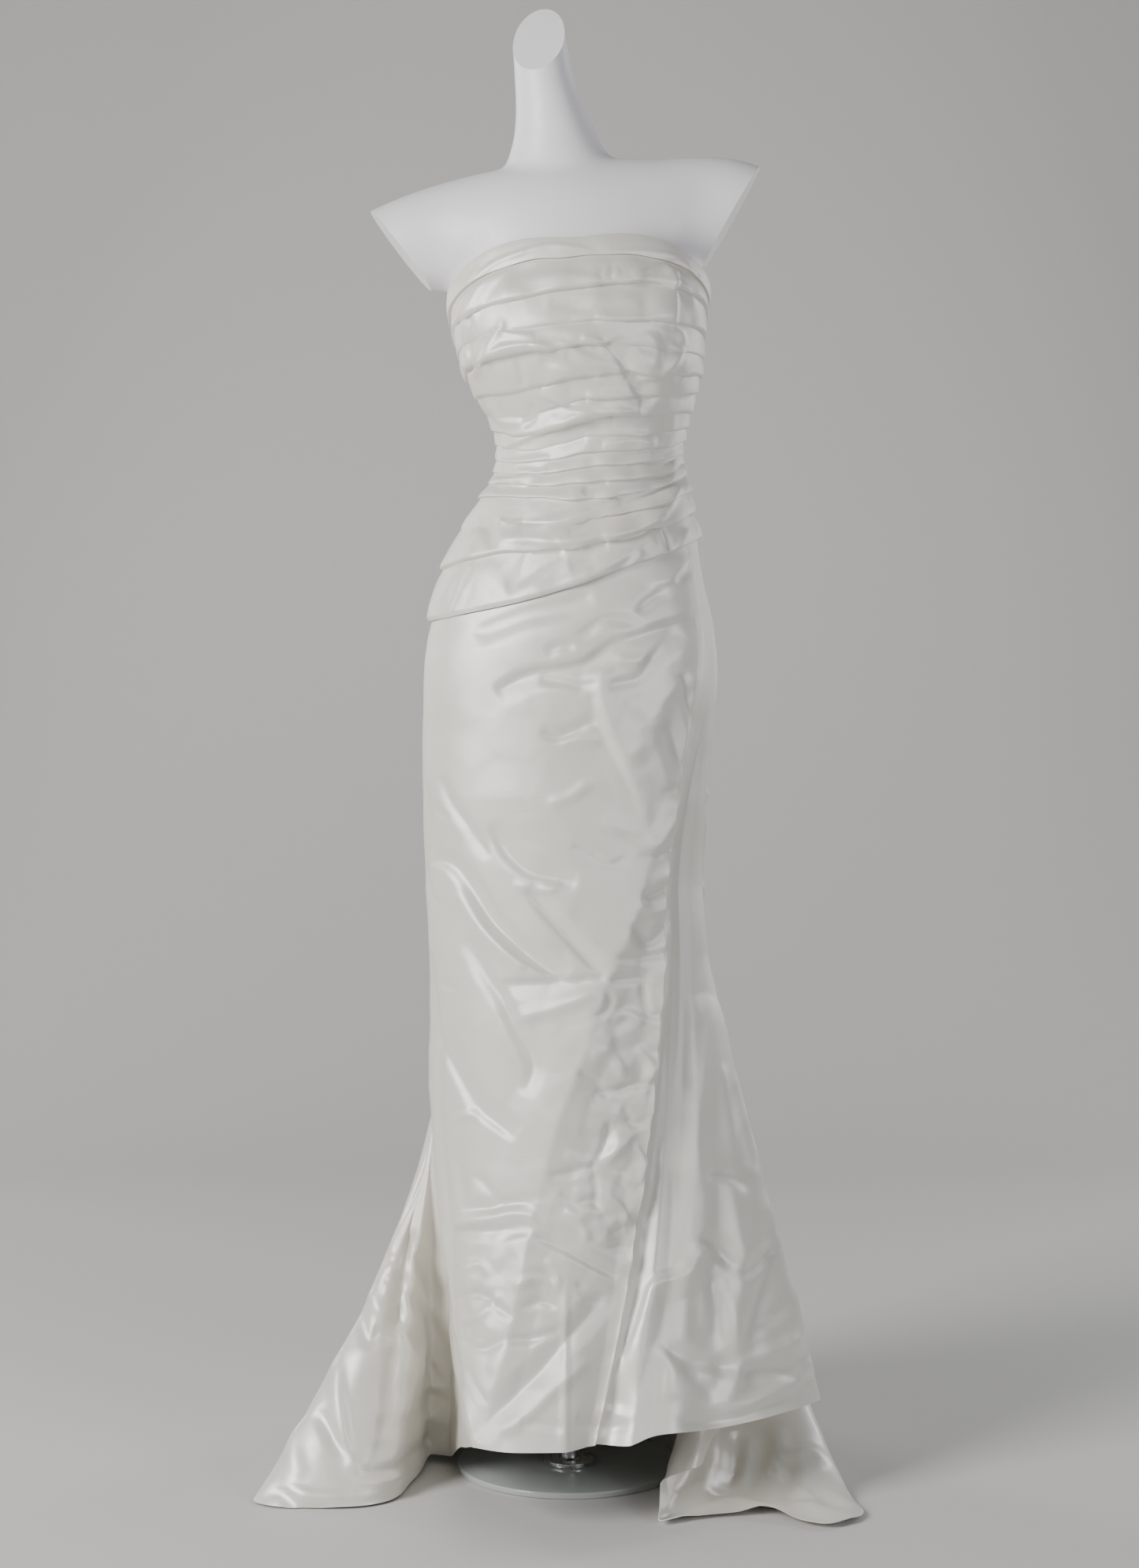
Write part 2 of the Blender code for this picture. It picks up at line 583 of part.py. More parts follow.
def main():
    for old in list(bpy.data.objects):
        bpy.data.objects.remove(old)
    satin = make_material("ivory_satin", (0.86, 0.84, 0.78), 0.35)
    make_neckline_band(satin)
    make_bodice(satin)
    make_skirt(satin)
    make_form(make_material("white_form", (0.88, 0.87, 0.90), 0.45))
    make_stand(
        make_material("clear_glass", (0.80, 0.88, 0.86), 0.05),
        make_material("steel", (0.70, 0.70, 0.72), 0.25, 1.0),
    )


main()
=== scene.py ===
# %% [markdown]
# # A mermaid gown on its dress form
#
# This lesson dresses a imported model. The model already holds every solid of the gown at its real
# size, so nothing here is fitted by eye: each cloth piece is made again on the same surface, with
# many more points, and then creased. Metres, +Z up, and the gown's front faces -Y.

import math

import bmesh
import bpy
import numpy as np
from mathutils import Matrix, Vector
from mathutils.kdtree import KDTree


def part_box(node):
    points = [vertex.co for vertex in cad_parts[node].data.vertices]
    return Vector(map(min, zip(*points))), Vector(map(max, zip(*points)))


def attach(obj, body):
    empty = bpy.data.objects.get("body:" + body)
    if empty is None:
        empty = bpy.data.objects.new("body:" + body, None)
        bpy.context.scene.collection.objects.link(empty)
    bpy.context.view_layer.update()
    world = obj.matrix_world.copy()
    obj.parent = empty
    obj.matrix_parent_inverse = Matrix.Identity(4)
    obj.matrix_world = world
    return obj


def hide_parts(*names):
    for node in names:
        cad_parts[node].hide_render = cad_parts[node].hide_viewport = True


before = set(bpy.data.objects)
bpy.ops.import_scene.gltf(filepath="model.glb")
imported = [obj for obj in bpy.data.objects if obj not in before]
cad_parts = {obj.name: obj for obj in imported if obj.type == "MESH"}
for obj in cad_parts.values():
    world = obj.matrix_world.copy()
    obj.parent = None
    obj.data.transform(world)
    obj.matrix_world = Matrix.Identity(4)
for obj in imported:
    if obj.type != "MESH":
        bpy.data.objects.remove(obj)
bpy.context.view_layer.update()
print("nodes:", sorted(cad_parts))

# %% [markdown]
# ## Camera, floor and light
#
# The photographer stood well back, with the lens at about waist height and tipped down a little.
# The creases below are read off on an upright plane through the gown, as seen from that place, so
# the camera comes first.

# %% Camera
EYE = Vector((0.0, -3.6, 1.1))
AIM_Z = 0.864
LENS = 68.4

camera_data = bpy.data.cameras.new("camera")
camera_data.lens = LENS
camera_data.sensor_fit = "VERTICAL"
camera_data.sensor_height = 36
camera = bpy.data.objects.new("camera", camera_data)
camera.location = EYE
camera.rotation_euler = (Vector((0, 0, AIM_Z)) - EYE).to_track_quat("-Z", "Y").to_euler()
bpy.context.scene.collection.objects.link(camera)
bpy.context.scene.camera = camera
print("camera tips down", round(math.degrees(math.atan2(EYE.z - AIM_Z, -EYE.y)), 1), "degrees")

# %% [markdown]
# Satin shows its folds only where the light comes from one side. A large soft lamp stands at the
# front left, a weak one fills the right, and two strips behind draw the gown's edges.

# %% Floor and lamps
FLOOR_REACH = 7.0
FLOOR_Z = -0.0005


def plain_material(name, colour, roughness):
    """A material of one colour, for what isn't part of the object."""
    material = bpy.data.materials.new(name)
    material.use_nodes = True
    shader = material.node_tree.nodes["Principled BSDF"]
    shader.inputs["Base Color"].default_value = (*colour, 1)
    shader.inputs["Roughness"].default_value = roughness
    return material


def add_floor():
    """A pale floor that turns up into a backdrop, half a millimetre clear of the glass base."""
    turn, back = 1.2, 3.2
    profile = [(-FLOOR_REACH, 0.0), (back - turn, 0.0)]
    for step in range(1, 13):
        angle = math.pi / 2 * step / 12
        profile.append((back - turn + turn * math.sin(angle), turn - turn * math.cos(angle)))
    profile.append((back, FLOOR_REACH))
    points = [(x, y, z + FLOOR_Z) for y, z in profile for x in (-FLOOR_REACH, FLOOR_REACH)]
    faces = [(2 * i, 2 * i + 1, 2 * i + 3, 2 * i + 2) for i in range(len(profile) - 1)]
    mesh = bpy.data.meshes.new("floor")
    mesh.from_pydata(points, [], faces)
    mesh.shade_smooth()
    mesh.materials.append(plain_material("pale_floor", (0.60, 0.59, 0.58), 0.7))
    floor = bpy.data.objects.new("floor", mesh)
    bpy.context.scene.collection.objects.link(floor)


def add_lamp(name, place, aim, size, power, colour=(1, 1, 1)):
    """A rectangular soft lamp that faces a point."""
    light = bpy.data.lights.new(name, "AREA")
    light.shape = "RECTANGLE"
    light.size, light.size_y = size
    light.energy = power
    light.color = colour
    lamp = bpy.data.objects.new(name, light)
    lamp.location = place
    lamp.rotation_euler = (Vector(aim) - Vector(place)).to_track_quat("-Z", "Y").to_euler()
    bpy.context.scene.collection.objects.link(lamp)


add_floor()
add_lamp("key", (-2.7, -2.3, 2.1), (0, 0, 0.9), (1.3, 2.0), 190, (1.0, 0.985, 0.96))
add_lamp("fill", (2.8, -2.9, 1.6), (0, 0, 0.8), (0.9, 2.0), 46, (0.95, 0.97, 1.0))
add_lamp("left_edge", (-2.2, 1.8, 1.9), (0, 0, 0.9), (0.6, 2.0), 24)
add_lamp("right_edge", (2.4, 1.6, 1.6), (0, 0, 0.9), (0.6, 2.0), 30)
world = bpy.data.worlds.new("studio")
world.use_nodes = True
world.node_tree.nodes["Background"].inputs["Color"].default_value = (0.80, 0.82, 0.86, 1)
world.node_tree.nodes["Background"].inputs["Strength"].default_value = 0.16
bpy.context.scene.world = world

# %% [markdown]
# ## The shape, as tables
#
# The gown's surface follows a few tables: the body under it, the edges of the bodice's pleats, and
# the skirt's folds. A row is one level, one pleat or one fold. They say the same as the solids, so
# the fine cloth lies where the model is.

# %% The body under the cloth
BODY_COLUMNS = ("z", "centre", "half_width", "front", "back", "squareness")
BODY = (
    (0.450, 0.0000, 0.1680, 0.138, 0.150, 2.0),
    (0.560, 0.0000, 0.1675, 0.136, 0.146, 2.0),
    (0.660, -0.0010, 0.1660, 0.131, 0.140, 2.0),
    (0.750, -0.0060, 0.1645, 0.127, 0.134, 2.0),
    (0.850, -0.0060, 0.1680, 0.124, 0.131, 2.05),
    (0.930, -0.0010, 0.1720, 0.122, 0.133, 2.1),
    (1.000, 0.0025, 0.1735, 0.119, 0.134, 2.15),
    (1.055, 0.0030, 0.1680, 0.115, 0.128, 2.15),
    (1.105, 0.0030, 0.1570, 0.109, 0.115, 2.1),
    (1.150, 0.0075, 0.1450, 0.102, 0.099, 2.1),
    (1.192, 0.0150, 0.1290, 0.094, 0.084, 2.1),
    (1.230, 0.0215, 0.1130, 0.087, 0.074, 2.05),
    (1.260, 0.0245, 0.1080, 0.084, 0.070, 2.05),
    (1.290, 0.0240, 0.1125, 0.088, 0.073, 2.1),
    (1.330, 0.0200, 0.1285, 0.103, 0.082, 2.3),
    (1.370, 0.0135, 0.1410, 0.118, 0.092, 2.5),
    (1.405, 0.0100, 0.1470, 0.122, 0.098, 2.5),
    (1.440, 0.0105, 0.1510, 0.117, 0.100, 2.4),
    (1.475, 0.0105, 0.1510, 0.108, 0.099, 2.3),
    (1.520, 0.0080, 0.1400, 0.096, 0.092, 2.2),
    (1.555, 0.0040, 0.1100, 0.076, 0.080, 2.1),
    (1.585, -0.0020, 0.0700, 0.050, 0.058, 2.0),
    (1.600, -0.0060, 0.0400, 0.034, 0.042, 2.0),
)
FORM_CLEARANCE = 0.0008
CLOTH = 0.0014

# %% The edges of the bodice's pleats
PLEAT_BEARINGS = (-90, -45, 0, 45, 90, 180)
# A row is left, left_front, centre, right_front, right, back, and then the pleat's depth.
PLEATS = (
    (1.442, 1.500, 1.508, 1.509, 1.456, 1.428, 0.0030),
    (1.417, 1.471, 1.485, 1.484, 1.440, 1.404, 0.0030),
    (1.394, 1.428, 1.447, 1.454, 1.421, 1.384, 0.0045),
    (1.370, 1.396, 1.407, 1.410, 1.396, 1.364, 0.0035),
    (1.348, 1.368, 1.381, 1.378, 1.373, 1.344, 0.0040),
    (1.327, 1.328, 1.345, 1.349, 1.352, 1.324, 0.0035),
    (1.308, 1.302, 1.321, 1.324, 1.332, 1.305, 0.0030),
    (1.289, 1.281, 1.299, 1.302, 1.311, 1.287, 0.0035),
    (1.271, 1.263, 1.278, 1.281, 1.292, 1.270, 0.0030),
    (1.255, 1.248, 1.259, 1.263, 1.276, 1.254, 0.0028),
    (1.240, 1.234, 1.242, 1.248, 1.262, 1.238, 0.0028),
    (1.226, 1.221, 1.223, 1.231, 1.250, 1.221, 0.0032),
    (1.208, 1.208, 1.203, 1.215, 1.238, 1.202, 0.0036),
    (1.172, 1.176, 1.177, 1.196, 1.219, 1.176, 0.0042),
    (1.122, 1.140, 1.146, 1.169, 1.193, 1.145, 0.0045),
    (1.060, 1.076, 1.102, 1.134, 1.163, 1.110, 0.0045),
)

# %% [markdown]
# No real pleat is even. This table says how strongly each edge shows at the same six bearings: a
# pleat is crisp where the cloth is gathered and melts away where it is pulled flat.

# %% How strongly each pleat shows
PLEAT_STRENGTH = (
    (1.0, 1.0, 1.0, 1.0, 1.0, 1.0),
    (1.0, 1.0, 0.9, 0.9, 1.1, 1.0),
    (0.5, 1.0, 1.1, 1.1, 0.5, 0.7),
    (0.3, 0.2, 0.7, 1.1, 0.8, 0.7),
    (0.9, 1.2, 1.0, 0.3, 0.5, 0.8),
    (0.9, 1.1, 1.1, 1.0, 0.8, 0.7),
    (0.3, 0.2, 0.9, 0.9, 0.5, 0.6),
    (0.5, 1.1, 1.0, 1.0, 0.6, 0.8),
    (0.6, 0.3, 0.3, 0.5, 0.8, 0.6),
    (0.7, 0.8, 1.0, 1.0, 0.9, 0.8),
    (0.6, 0.8, 1.0, 0.7, 0.6, 0.6),
    (0.5, 0.9, 1.0, 1.0, 0.7, 0.8),
    (0.9, 1.1, 1.0, 1.0, 0.9, 0.7),
    (0.3, 0.2, 0.5, 1.2, 1.3, 0.8),
    (1.1, 1.1, 1.1, 1.0, 0.9, 0.8),
    (0.8, 0.8, 0.8, 0.9, 1.0, 0.9),
)
print(len(PLEATS), "pleat edges, the first the neckline and the last the slanting seam")

# %% The skirt's folds
SKIRT_COLUMNS = (
    "fold", "steps", "hip_bearing", "knee_bearing", "knee_z",
    "pull_x", "pull_y", "pull_z", "hem_x", "hem_y", "hem_z",
)
SKIRT = (
    ("left seam in its valley", 1, -97, -98, 0.50, 0.022, 0.010, 0.26, -0.150, 0.082, 0.012),
    ("valley's front wall", 2, -91, -91, 0.50, 0.018, 0.020, 0.28, -0.138, 0.005, 0.045),
    ("valley's mouth", 2, -86, -84, 0.50, 0.012, 0.010, 0.30, -0.122, -0.095, 0.075),
    ("front's left edge", 5, -78, -76, 0.50, 0.006, 0.000, 0.30, -0.107, -0.190, 0.102),
    ("front, left third", 5, -42, -34, 0.52, 0.000, 0.000, 0.32, -0.062, -0.208, 0.101),
    ("front, right third", 7, 0, 0, 0.54, 0.000, 0.000, 0.32, -0.012, -0.206, 0.101),
    ("right seam in its hollow", 2, 70, 43, 0.57, 0.000, 0.012, 0.34, 0.030, -0.176, 0.102),
    ("ridge beside the hollow", 2, 76, 54, 0.60, 0.004, -0.004, 0.36, 0.072, -0.204, 0.110),
    ("front hem's right part", 2, 81, 63, 0.62, 0.006, 0.000, 0.38, 0.112, -0.190, 0.118),
    ("right flare, dip", 2, 85, 71, 0.64, 0.012, 0.006, 0.42, 0.180, -0.140, 0.112),
    ("right flare, ridge", 2, 89, 79, 0.66, 0.016, 0.000, 0.48, 0.252, -0.095, 0.116),
    ("right corner", 2, 93, 88, 0.66, 0.020, 0.000, 0.54, 0.3075, -0.030, 0.117),
    ("tucked under", 2, 97, 93, 0.66, 0.012, -0.004, 0.40, 0.240, -0.002, 0.106),
    ("tucked further", 2, 100, 97, 0.66, 0.004, -0.012, 0.30, 0.190, -0.020, 0.084),
    ("tuck's inner side", 2, 103, 100, 0.66, -0.027, -0.026, 0.22, 0.160, -0.086, 0.052),
    ("tuck's turning", 2, 106, 103, 0.66, -0.038, -0.005, 0.05, 0.108, -0.104, 0.034),
    ("puddle's near corner", 2, 109, 106, 0.66, -0.012, 0.114, 0.02, 0.108, -0.162, 0.008),
    ("puddle's first dip", 2, 113, 110, 0.66, 0.008, 0.135, 0.00, 0.172, -0.132, 0.003),
    ("puddle's middle", 2, 118, 114, 0.66, 0.034, 0.145, 0.00, 0.225, -0.125, 0.003),
    ("puddle's front", 2, 123, 118, 0.66, 0.078, 0.140, 0.00, 0.300, -0.172, 0.003),
    ("puddle's outer corner", 2, 128, 122, 0.66, 0.100, 0.120, 0.00, 0.350, -0.118, 0.003),
    ("train's right edge", 2, 134, 128, 0.70, 0.085, 0.100, 0.06, 0.325, 0.030, 0.003),
    ("train's right side", 3, 142, 138, 0.76, 0.060, 0.100, 0.08, 0.285, 0.240, 0.003),
    ("train's right rear", 4, 160, 158, 0.82, 0.040, 0.080, 0.08, 0.200, 0.520, 0.003),
    ("centre back seam", 4, 180, 180, 0.84, 0.000, 0.090, 0.08, 0.000, 0.610, 0.003),
    ("train's left rear", 3, 200, 202, 0.82, -0.040, 0.080, 0.08, -0.225, 0.510, 0.003),
    ("train's left side", 2, 218, 226, 0.66, -0.040, 0.060, 0.16, -0.338, 0.240, 0.003),
    ("train's left edge", 2, 228, 242, 0.60, -0.014, 0.020, 0.30, -0.356, 0.060, 0.003),
    ("left corner", 2, 236, 244, 0.56, -0.008, 0.000, 0.33, -0.382, -0.068, 0.003),
    ("left piece's front", 2, 242, 248, 0.54, -0.014, 0.000, 0.32, -0.322, -0.100, 0.003),
    ("left piece's middle", 1, 247, 251, 0.52, -0.014, 0.006, 0.30, -0.262, -0.096, 0.003),
    ("left piece's curl", 1, 251, 254, 0.51, -0.018, 0.014, 0.29, -0.211, -0.066, 0.003),
    ("left piece's return", 1, 255, 257, 0.50, -0.012, 0.020, 0.28, -0.191, 0.020, 0.005),
    ("left piece's inner side", 1, 259, 260, 0.50, 0.002, 0.018, 0.27, -0.176, 0.094, 0.011),
)
LEFT_SEAM, RIGHT_SEAM, BACK_SEAM = 0, 6, 24
print(len(SKIRT), "folds round the skirt")

# %% [markdown]
# A table gives a few places, and a smooth curve through them gives the rest. The slopes are held
# back where a curve would otherwise run past the places it joins.

# %% Curves through a table
def bounded_slopes(knots, values):
    """Slopes that keep a curve between its knots from running past them."""
    steps = np.diff(values) / np.diff(knots)
    before, after = steps[:-1], steps[1:]
    same_way = before * after > 0
    total = np.where(same_way, before + after, 1)
    middle = np.where(same_way, 2 * before * after / total, 0)
    return np.concatenate([steps[:1], middle, steps[-1:]])


def hermite(knots, values, at, bounded=False):
    """A smooth curve through a table's column, flat past the table's ends."""
    knots, values = np.asarray(knots, float), np.asarray(values, float)
    slopes = bounded_slopes(knots, values) if bounded else np.gradient(values, knots)
    at = np.clip(at, knots[0], knots[-1])
    i = np.clip(np.searchsorted(knots, at) - 1, 0, len(knots) - 2)
    step = knots[i + 1] - knots[i]
    t = (at - knots[i]) / step
    start = (1 + 2 * t) * (1 - t) ** 2 * values[i] + t * (1 - t) ** 2 * step * slopes[i]
    end = t * t * (3 - 2 * t) * values[i + 1] + t * t * (t - 1) * step * slopes[i + 1]
    return start + end


def round_the_gown(values, at):
    """A smooth closed curve through values given at the six bearings."""
    turns = np.concatenate([np.array(PLEAT_BEARINGS) + turn for turn in (-360, 0, 360)])
    return hermite(turns, np.tile(values, 3), (np.asarray(at, float) + 180) % 360 - 180)


def column(table, columns, name):
    """One named column of a table, as an array."""
    return np.array([row[columns.index(name)] for row in table], float)


def body_point(z, bearing, out):
    """The point of the body's surface at a height and bearing, moved straight out."""
    heights = column(BODY, BODY_COLUMNS, "z")
    centre, half_width, front, back, squareness = (
        hermite(heights, column(BODY, BODY_COLUMNS, name), z) for name in BODY_COLUMNS[1:]
    )
    sine, cosine = np.sin(np.radians(bearing)), np.cos(np.radians(bearing))
    depth = np.where(cosine > 0, front, back)
    across = (np.abs(sine) / half_width) ** squareness
    along = (np.abs(cosine) / depth) ** squareness
    reach = (across + along) ** (-1 / squareness) + out
    return np.stack([centre + reach * sine, -reach * cosine, z + 0 * reach], axis=-1)


waist = body_point(np.full(360, 1.26), np.arange(360.0), FORM_CLEARANCE + CLOTH)
waist_round = np.linalg.norm(waist - np.roll(waist, 1, axis=0), axis=1).sum()
print("waist measures", round(waist_round, 3), "m round")

# %% [markdown]
# ## Creases
#
# A crease is a line on the cloth with a height and a width on each side of it. A tall narrow side
# and a long flat one make a fold that lies over; two flat sides make the soft facets that silk
# satin falls into. Each is placed on a chart of the gown as it is seen, in centimetres
# across from the middle and up from the floor, and the sizes of its two sides are in millimetres.

# %% Lifting cloth along a crease
CHART_UNIT = 0.01


def seen_from_front(points):
    """Where each point is seen from the camera's place, on the upright plane y = 0."""
    nearer = EYE.y / (EYE.y - points[..., 1])
    across = points[..., 0] * nearer
    up = EYE.z + (points[..., 2] - EYE.z) * nearer
    return np.stack([across, up], axis=-1) / CHART_UNIT


def seen_square_on(points, across_axis):
    """The same chart without perspective, for the sides and the back."""
    return np.stack([points[..., across_axis], points[..., 2]], axis=-1) / CHART_UNIT


def smooth_path(corners, pieces=18):
    """A smooth line through a crease's few places, and how far along it each point lies."""
    corners = np.array(corners, float)
    lengths = np.linalg.norm(np.diff(corners, axis=0), axis=1)
    knots = np.concatenate([[0], np.cumsum(lengths)])
    at = np.linspace(0, knots[-1], pieces + 1)
    if len(corners) == 2:
        return corners[0] + (corners[1] - corners[0]) * (at / knots[-1])[:, None]
    return np.stack([hermite(knots, corners[:, i], at) for i in (0, 1)], axis=-1)


def crease_height(chart, height, left_width, right_width, corners):
    """The lift in metres that one crease gives each chart point."""
    path = smooth_path(corners)
    reach = max(left_width, right_width) / 10
    low, high = path.min(axis=0) - reach, path.max(axis=0) + reach
    near = np.all((chart > low) & (chart < high), axis=-1)
    points = chart[near]
    distance = np.full(len(points), np.inf)
    side = np.zeros(len(points))
    along = np.zeros(len(points))
    count = len(path) - 1
    for i in range(count):
        way = path[i + 1] - path[i]
        share = np.clip((points - path[i]) @ way / (way @ way), 0, 1)
        away = points - path[i] - share[:, None] * way
        here = np.linalg.norm(away, axis=1)
        closer = here < distance
        distance[closer] = here[closer]
        side[closer] = (way[0] * away[:, 1] - way[1] * away[:, 0])[closer]
        along[closer] = ((i + share) / count)[closer]
    width = np.where(side > 0, left_width, right_width) / 10
    across = np.clip(1 - distance / width, 0, 1)
    ends = np.clip(np.minimum(along / 0.3, (1 - along) / 0.35), 0, 1)
    lift = np.zeros(chart.shape[:-1])
    lift[near] = height / 1000 * across ** 1.1 * np.sqrt(ends * (2 - ends))
    return lift


# %% [markdown]
# Between the large creases silk keeps a crumple of small flat facets. Two sets of scattered sites
# give it: the difference of a point's squared distances to the nearest site of each set is flat
# within a facet and bends sharply between facets, which is how crushed cloth behaves.

# %% Crumpled facets
def nearest_squared(points, sites):
    """Squared distance from each point to its nearest site."""
    tree = KDTree(len(sites))
    for i, site in enumerate(sites):
        tree.insert(site, i)
    tree.balance()
    return np.array([tree.find(point)[2] for point in points.tolist()]) ** 2


def crumple(points, facet, slope, seed):
    """A lift in metres made of facets about this wide, tilted about this much."""
    flat = points.reshape(-1, 3)
    random = np.random.default_rng(seed)
    spread = flat.max(axis=0) - flat.min(axis=0)
    count = int(len(flat) and min(1400, 2.2 * spread.max() * spread[:2].sum() / facet ** 2))
    fields = []
    for _ in range(2):
        sites = flat[random.choice(len(flat), count, replace=False)]
        sites = sites + random.normal(0, facet * 0.35, sites.shape)
        fields.append(nearest_squared(flat, sites))
    return ((fields[1] - fields[0]) * slope / facet).reshape(points.shape[:-1])


def softened(values, rounds):
    """A closed grid of values with each one drawn towards its neighbours, a few times."""
    for _ in range(rounds):
        up = np.vstack([values[:1], values[:-1]])
        down = np.vstack([values[1:], values[-1:]])
        left, right = np.roll(values, 1, axis=1), np.roll(values, -1, axis=1)
        values = values * 0.4 + (up + down + left + right) * 0.15
    return values


def spot(chart, across, up, half_width, half_height):
    """1 at a place on the chart, falling softly to 0 round it."""
    x = (chart[..., 0] - across) / half_width
    z = (chart[..., 1] - up) / half_height
    return np.exp(-(x * x + z * z))


# %% [markdown]
# ## From a grid to a piece of cloth
#
# Every cloth piece is a grid of points that runs round and down the gown. Its wall is that grid and
# the same grid moved in by the cloth, joined at the edges. The UV map is in metres along the two
# threads, so a weave has its true scale on every piece.

# %% Grid helpers
FINE_CLOTH = 0.0009


def surface_normals(points, closed):
    """Unit normals of a grid of points whose columns run round and whose rows run down."""
    if closed:
        around = np.roll(points, -1, axis=1) - np.roll(points, 1, axis=1)
    else:
        around = np.gradient(points, axis=1)
    normals = np.cross(np.gradient(points, axis=0), around)
    return normals / np.maximum(np.linalg.norm(normals, axis=-1, keepdims=True), 1e-12)


def thread_lengths(points):
    """How far each grid point lies along the threads that run round and down, in metres."""
    around = np.linalg.norm(np.diff(points, axis=1), axis=-1).mean(axis=0)
    down = np.linalg.norm(np.diff(points, axis=0), axis=-1).mean(axis=1)
    u = np.concatenate([[0], np.cumsum(around)])
    v = np.concatenate([[0], np.cumsum(down)])
    return np.meshgrid(u, v)


def cloth_piece(name, outer, normals, lift, material, closed=False, inner=None):
    """A closed cloth wall from a grid of points, with a UV map in metres and its folds' lift kept."""
    rows, columns = outer.shape[:2]
    if inner is None:
        inner = outer - normals * FINE_CLOTH
    size = rows * columns
    spans = columns if closed else columns - 1
    row, col = np.meshgrid(np.arange(rows - 1), np.arange(spans), indexing="ij")
    after = (col + 1) % columns
    a, b = row * columns + col, (row + 1) * columns + col
    c, d = (row + 1) * columns + after, row * columns + after
    front = np.stack([a, b, c, d], axis=-1).reshape(-1, 4)
    faces = [front, front[:, ::-1] + size]
    across = np.arange(spans)
    beside = (across + 1) % columns
    for edge_row, flip in ((0, False), (rows - 1, True)):
        first, second = edge_row * columns + across, edge_row * columns + beside
        rim = np.stack([second, second + size, first + size, first], axis=-1)
        faces.append(rim[:, ::-1] if flip else rim)
    if not closed:
        down = np.arange(rows - 1)
        for edge_col, flip in ((0, False), (columns - 1, True)):
            first, second = down * columns + edge_col, (down + 1) * columns + edge_col
            rim = np.stack([first, first + size, second + size, second], axis=-1)
            faces.append(rim[:, ::-1] if flip else rim)
    faces = np.concatenate(faces)
    mesh = bpy.data.meshes.new(name)
    points = np.concatenate([outer.reshape(-1, 3), inner.reshape(-1, 3)])
    mesh.from_pydata(points.tolist(), [], faces.tolist())
    u, v = thread_lengths(outer)
    flat = np.tile(np.stack([u, v], axis=-1).reshape(-1, 2), (2, 1))
    uv = mesh.uv_layers.new(name="threads")
    loops = np.empty(len(mesh.loops), int)
    mesh.loops.foreach_get("vertex_index", loops)
    uv.data.foreach_set("uv", flat[loops].ravel())
    fold = mesh.attributes.new("fold", "FLOAT", "POINT")
    fold.data.foreach_set("value", np.tile(lift.ravel(), 2).astype(np.float32))
    mesh.shade_smooth()
    mesh.set_sharp_from_angle(angle=math.radians(60))
    mesh.materials.append(material)
    piece = bpy.data.objects.new(name, mesh)
    bpy.context.scene.collection.objects.link(piece)
    print(name, "has", 2 * len(faces), "triangles")
    return piece


def sheet_size(points, rows=19, columns=25):
    """The width, length and area that a panel was cut to, worked out by laying it flat.

    Seen on the table, neighbouring threads that run down open out by as much as the rows grow, so
    each such thread turns a little more than the one before it.
    """
    sides = np.cross(points[1:, :-1] - points[:-1, :-1], points[:-1, 1:] - points[:-1, :-1])
    others = np.cross(points[1:, 1:] - points[1:, :-1], points[1:, 1:] - points[:-1, 1:])
    area = (np.linalg.norm(sides, axis=-1).sum() + np.linalg.norm(others, axis=-1).sum()) / 2
    row_places = np.linspace(0, len(points) - 1, min(rows, len(points))).astype(int)
    column_places = np.linspace(0, points.shape[1] - 1, columns).astype(int)
    around = np.linalg.norm(np.diff(points, axis=1), axis=-1)[row_places]
    around = np.add.reduceat(around, column_places[:-1], axis=1)
    down = np.linalg.norm(np.diff(points, axis=0), axis=-1)[:, column_places]
    down = np.add.reduceat(down, row_places[:-1], axis=0)
    growth = np.diff(around, axis=0) / ((down[:, 1:] + down[:, :-1]) / 2)
    turn = np.concatenate([np.zeros((len(growth), 1)), np.cumsum(growth, axis=1)], axis=1)
    turn -= turn[:, columns // 2][:, None]
    first = np.concatenate([[0], np.cumsum(around[0])])
    first -= first[columns // 2]
    x = np.vstack([first, first + np.cumsum(down * np.sin(turn), axis=0)])
    z = np.vstack([0 * first, np.cumsum(down * np.cos(turn), axis=0)])
    return round(float(np.ptp(x)), 3), round(float(np.ptp(z)), 3), round(float(area), 4)


# %% [markdown]
# ## Shared shader groups
#
# Satin is woven so that long threads float on its face. Close by it has a fine diagonal twill-like
# tick and a few thicker threads; from a step away only a soft sheen is left. The weave and the cloudy
# change of tone are groups, so each material can use them with its own values. A group gives out
# only masks, and the shader stays in the material.

# %% Building node groups
def new_group(name, inputs, outputs):
    """An empty shader group with named value inputs and outputs."""
    group = bpy.data.node_groups.new(name, "ShaderNodeTree")
    for label, kind, value in inputs:
        socket = group.interface.new_socket(label, in_out="INPUT", socket_type=kind)
        if value is not None:
            socket.default_value = value
    for label, kind in outputs:
        group.interface.new_socket(label, in_out="OUTPUT", socket_type=kind)
    return group, group.nodes.new("NodeGroupInput"), group.nodes.new("NodeGroupOutput")


def maths(tree, operation, first, second=None):
    """A Math node whose inputs are sockets or plain numbers; gives its output socket."""
    node = tree.nodes.new("ShaderNodeMath")
    node.operation = operation
    for place, value in enumerate((first, second)):
        if value is None:
            continue
        if isinstance(value, (int, float)):
            node.inputs[place].default_value = value
        else:
            tree.links.new(value, node.inputs[place])
    return node.outputs[0]


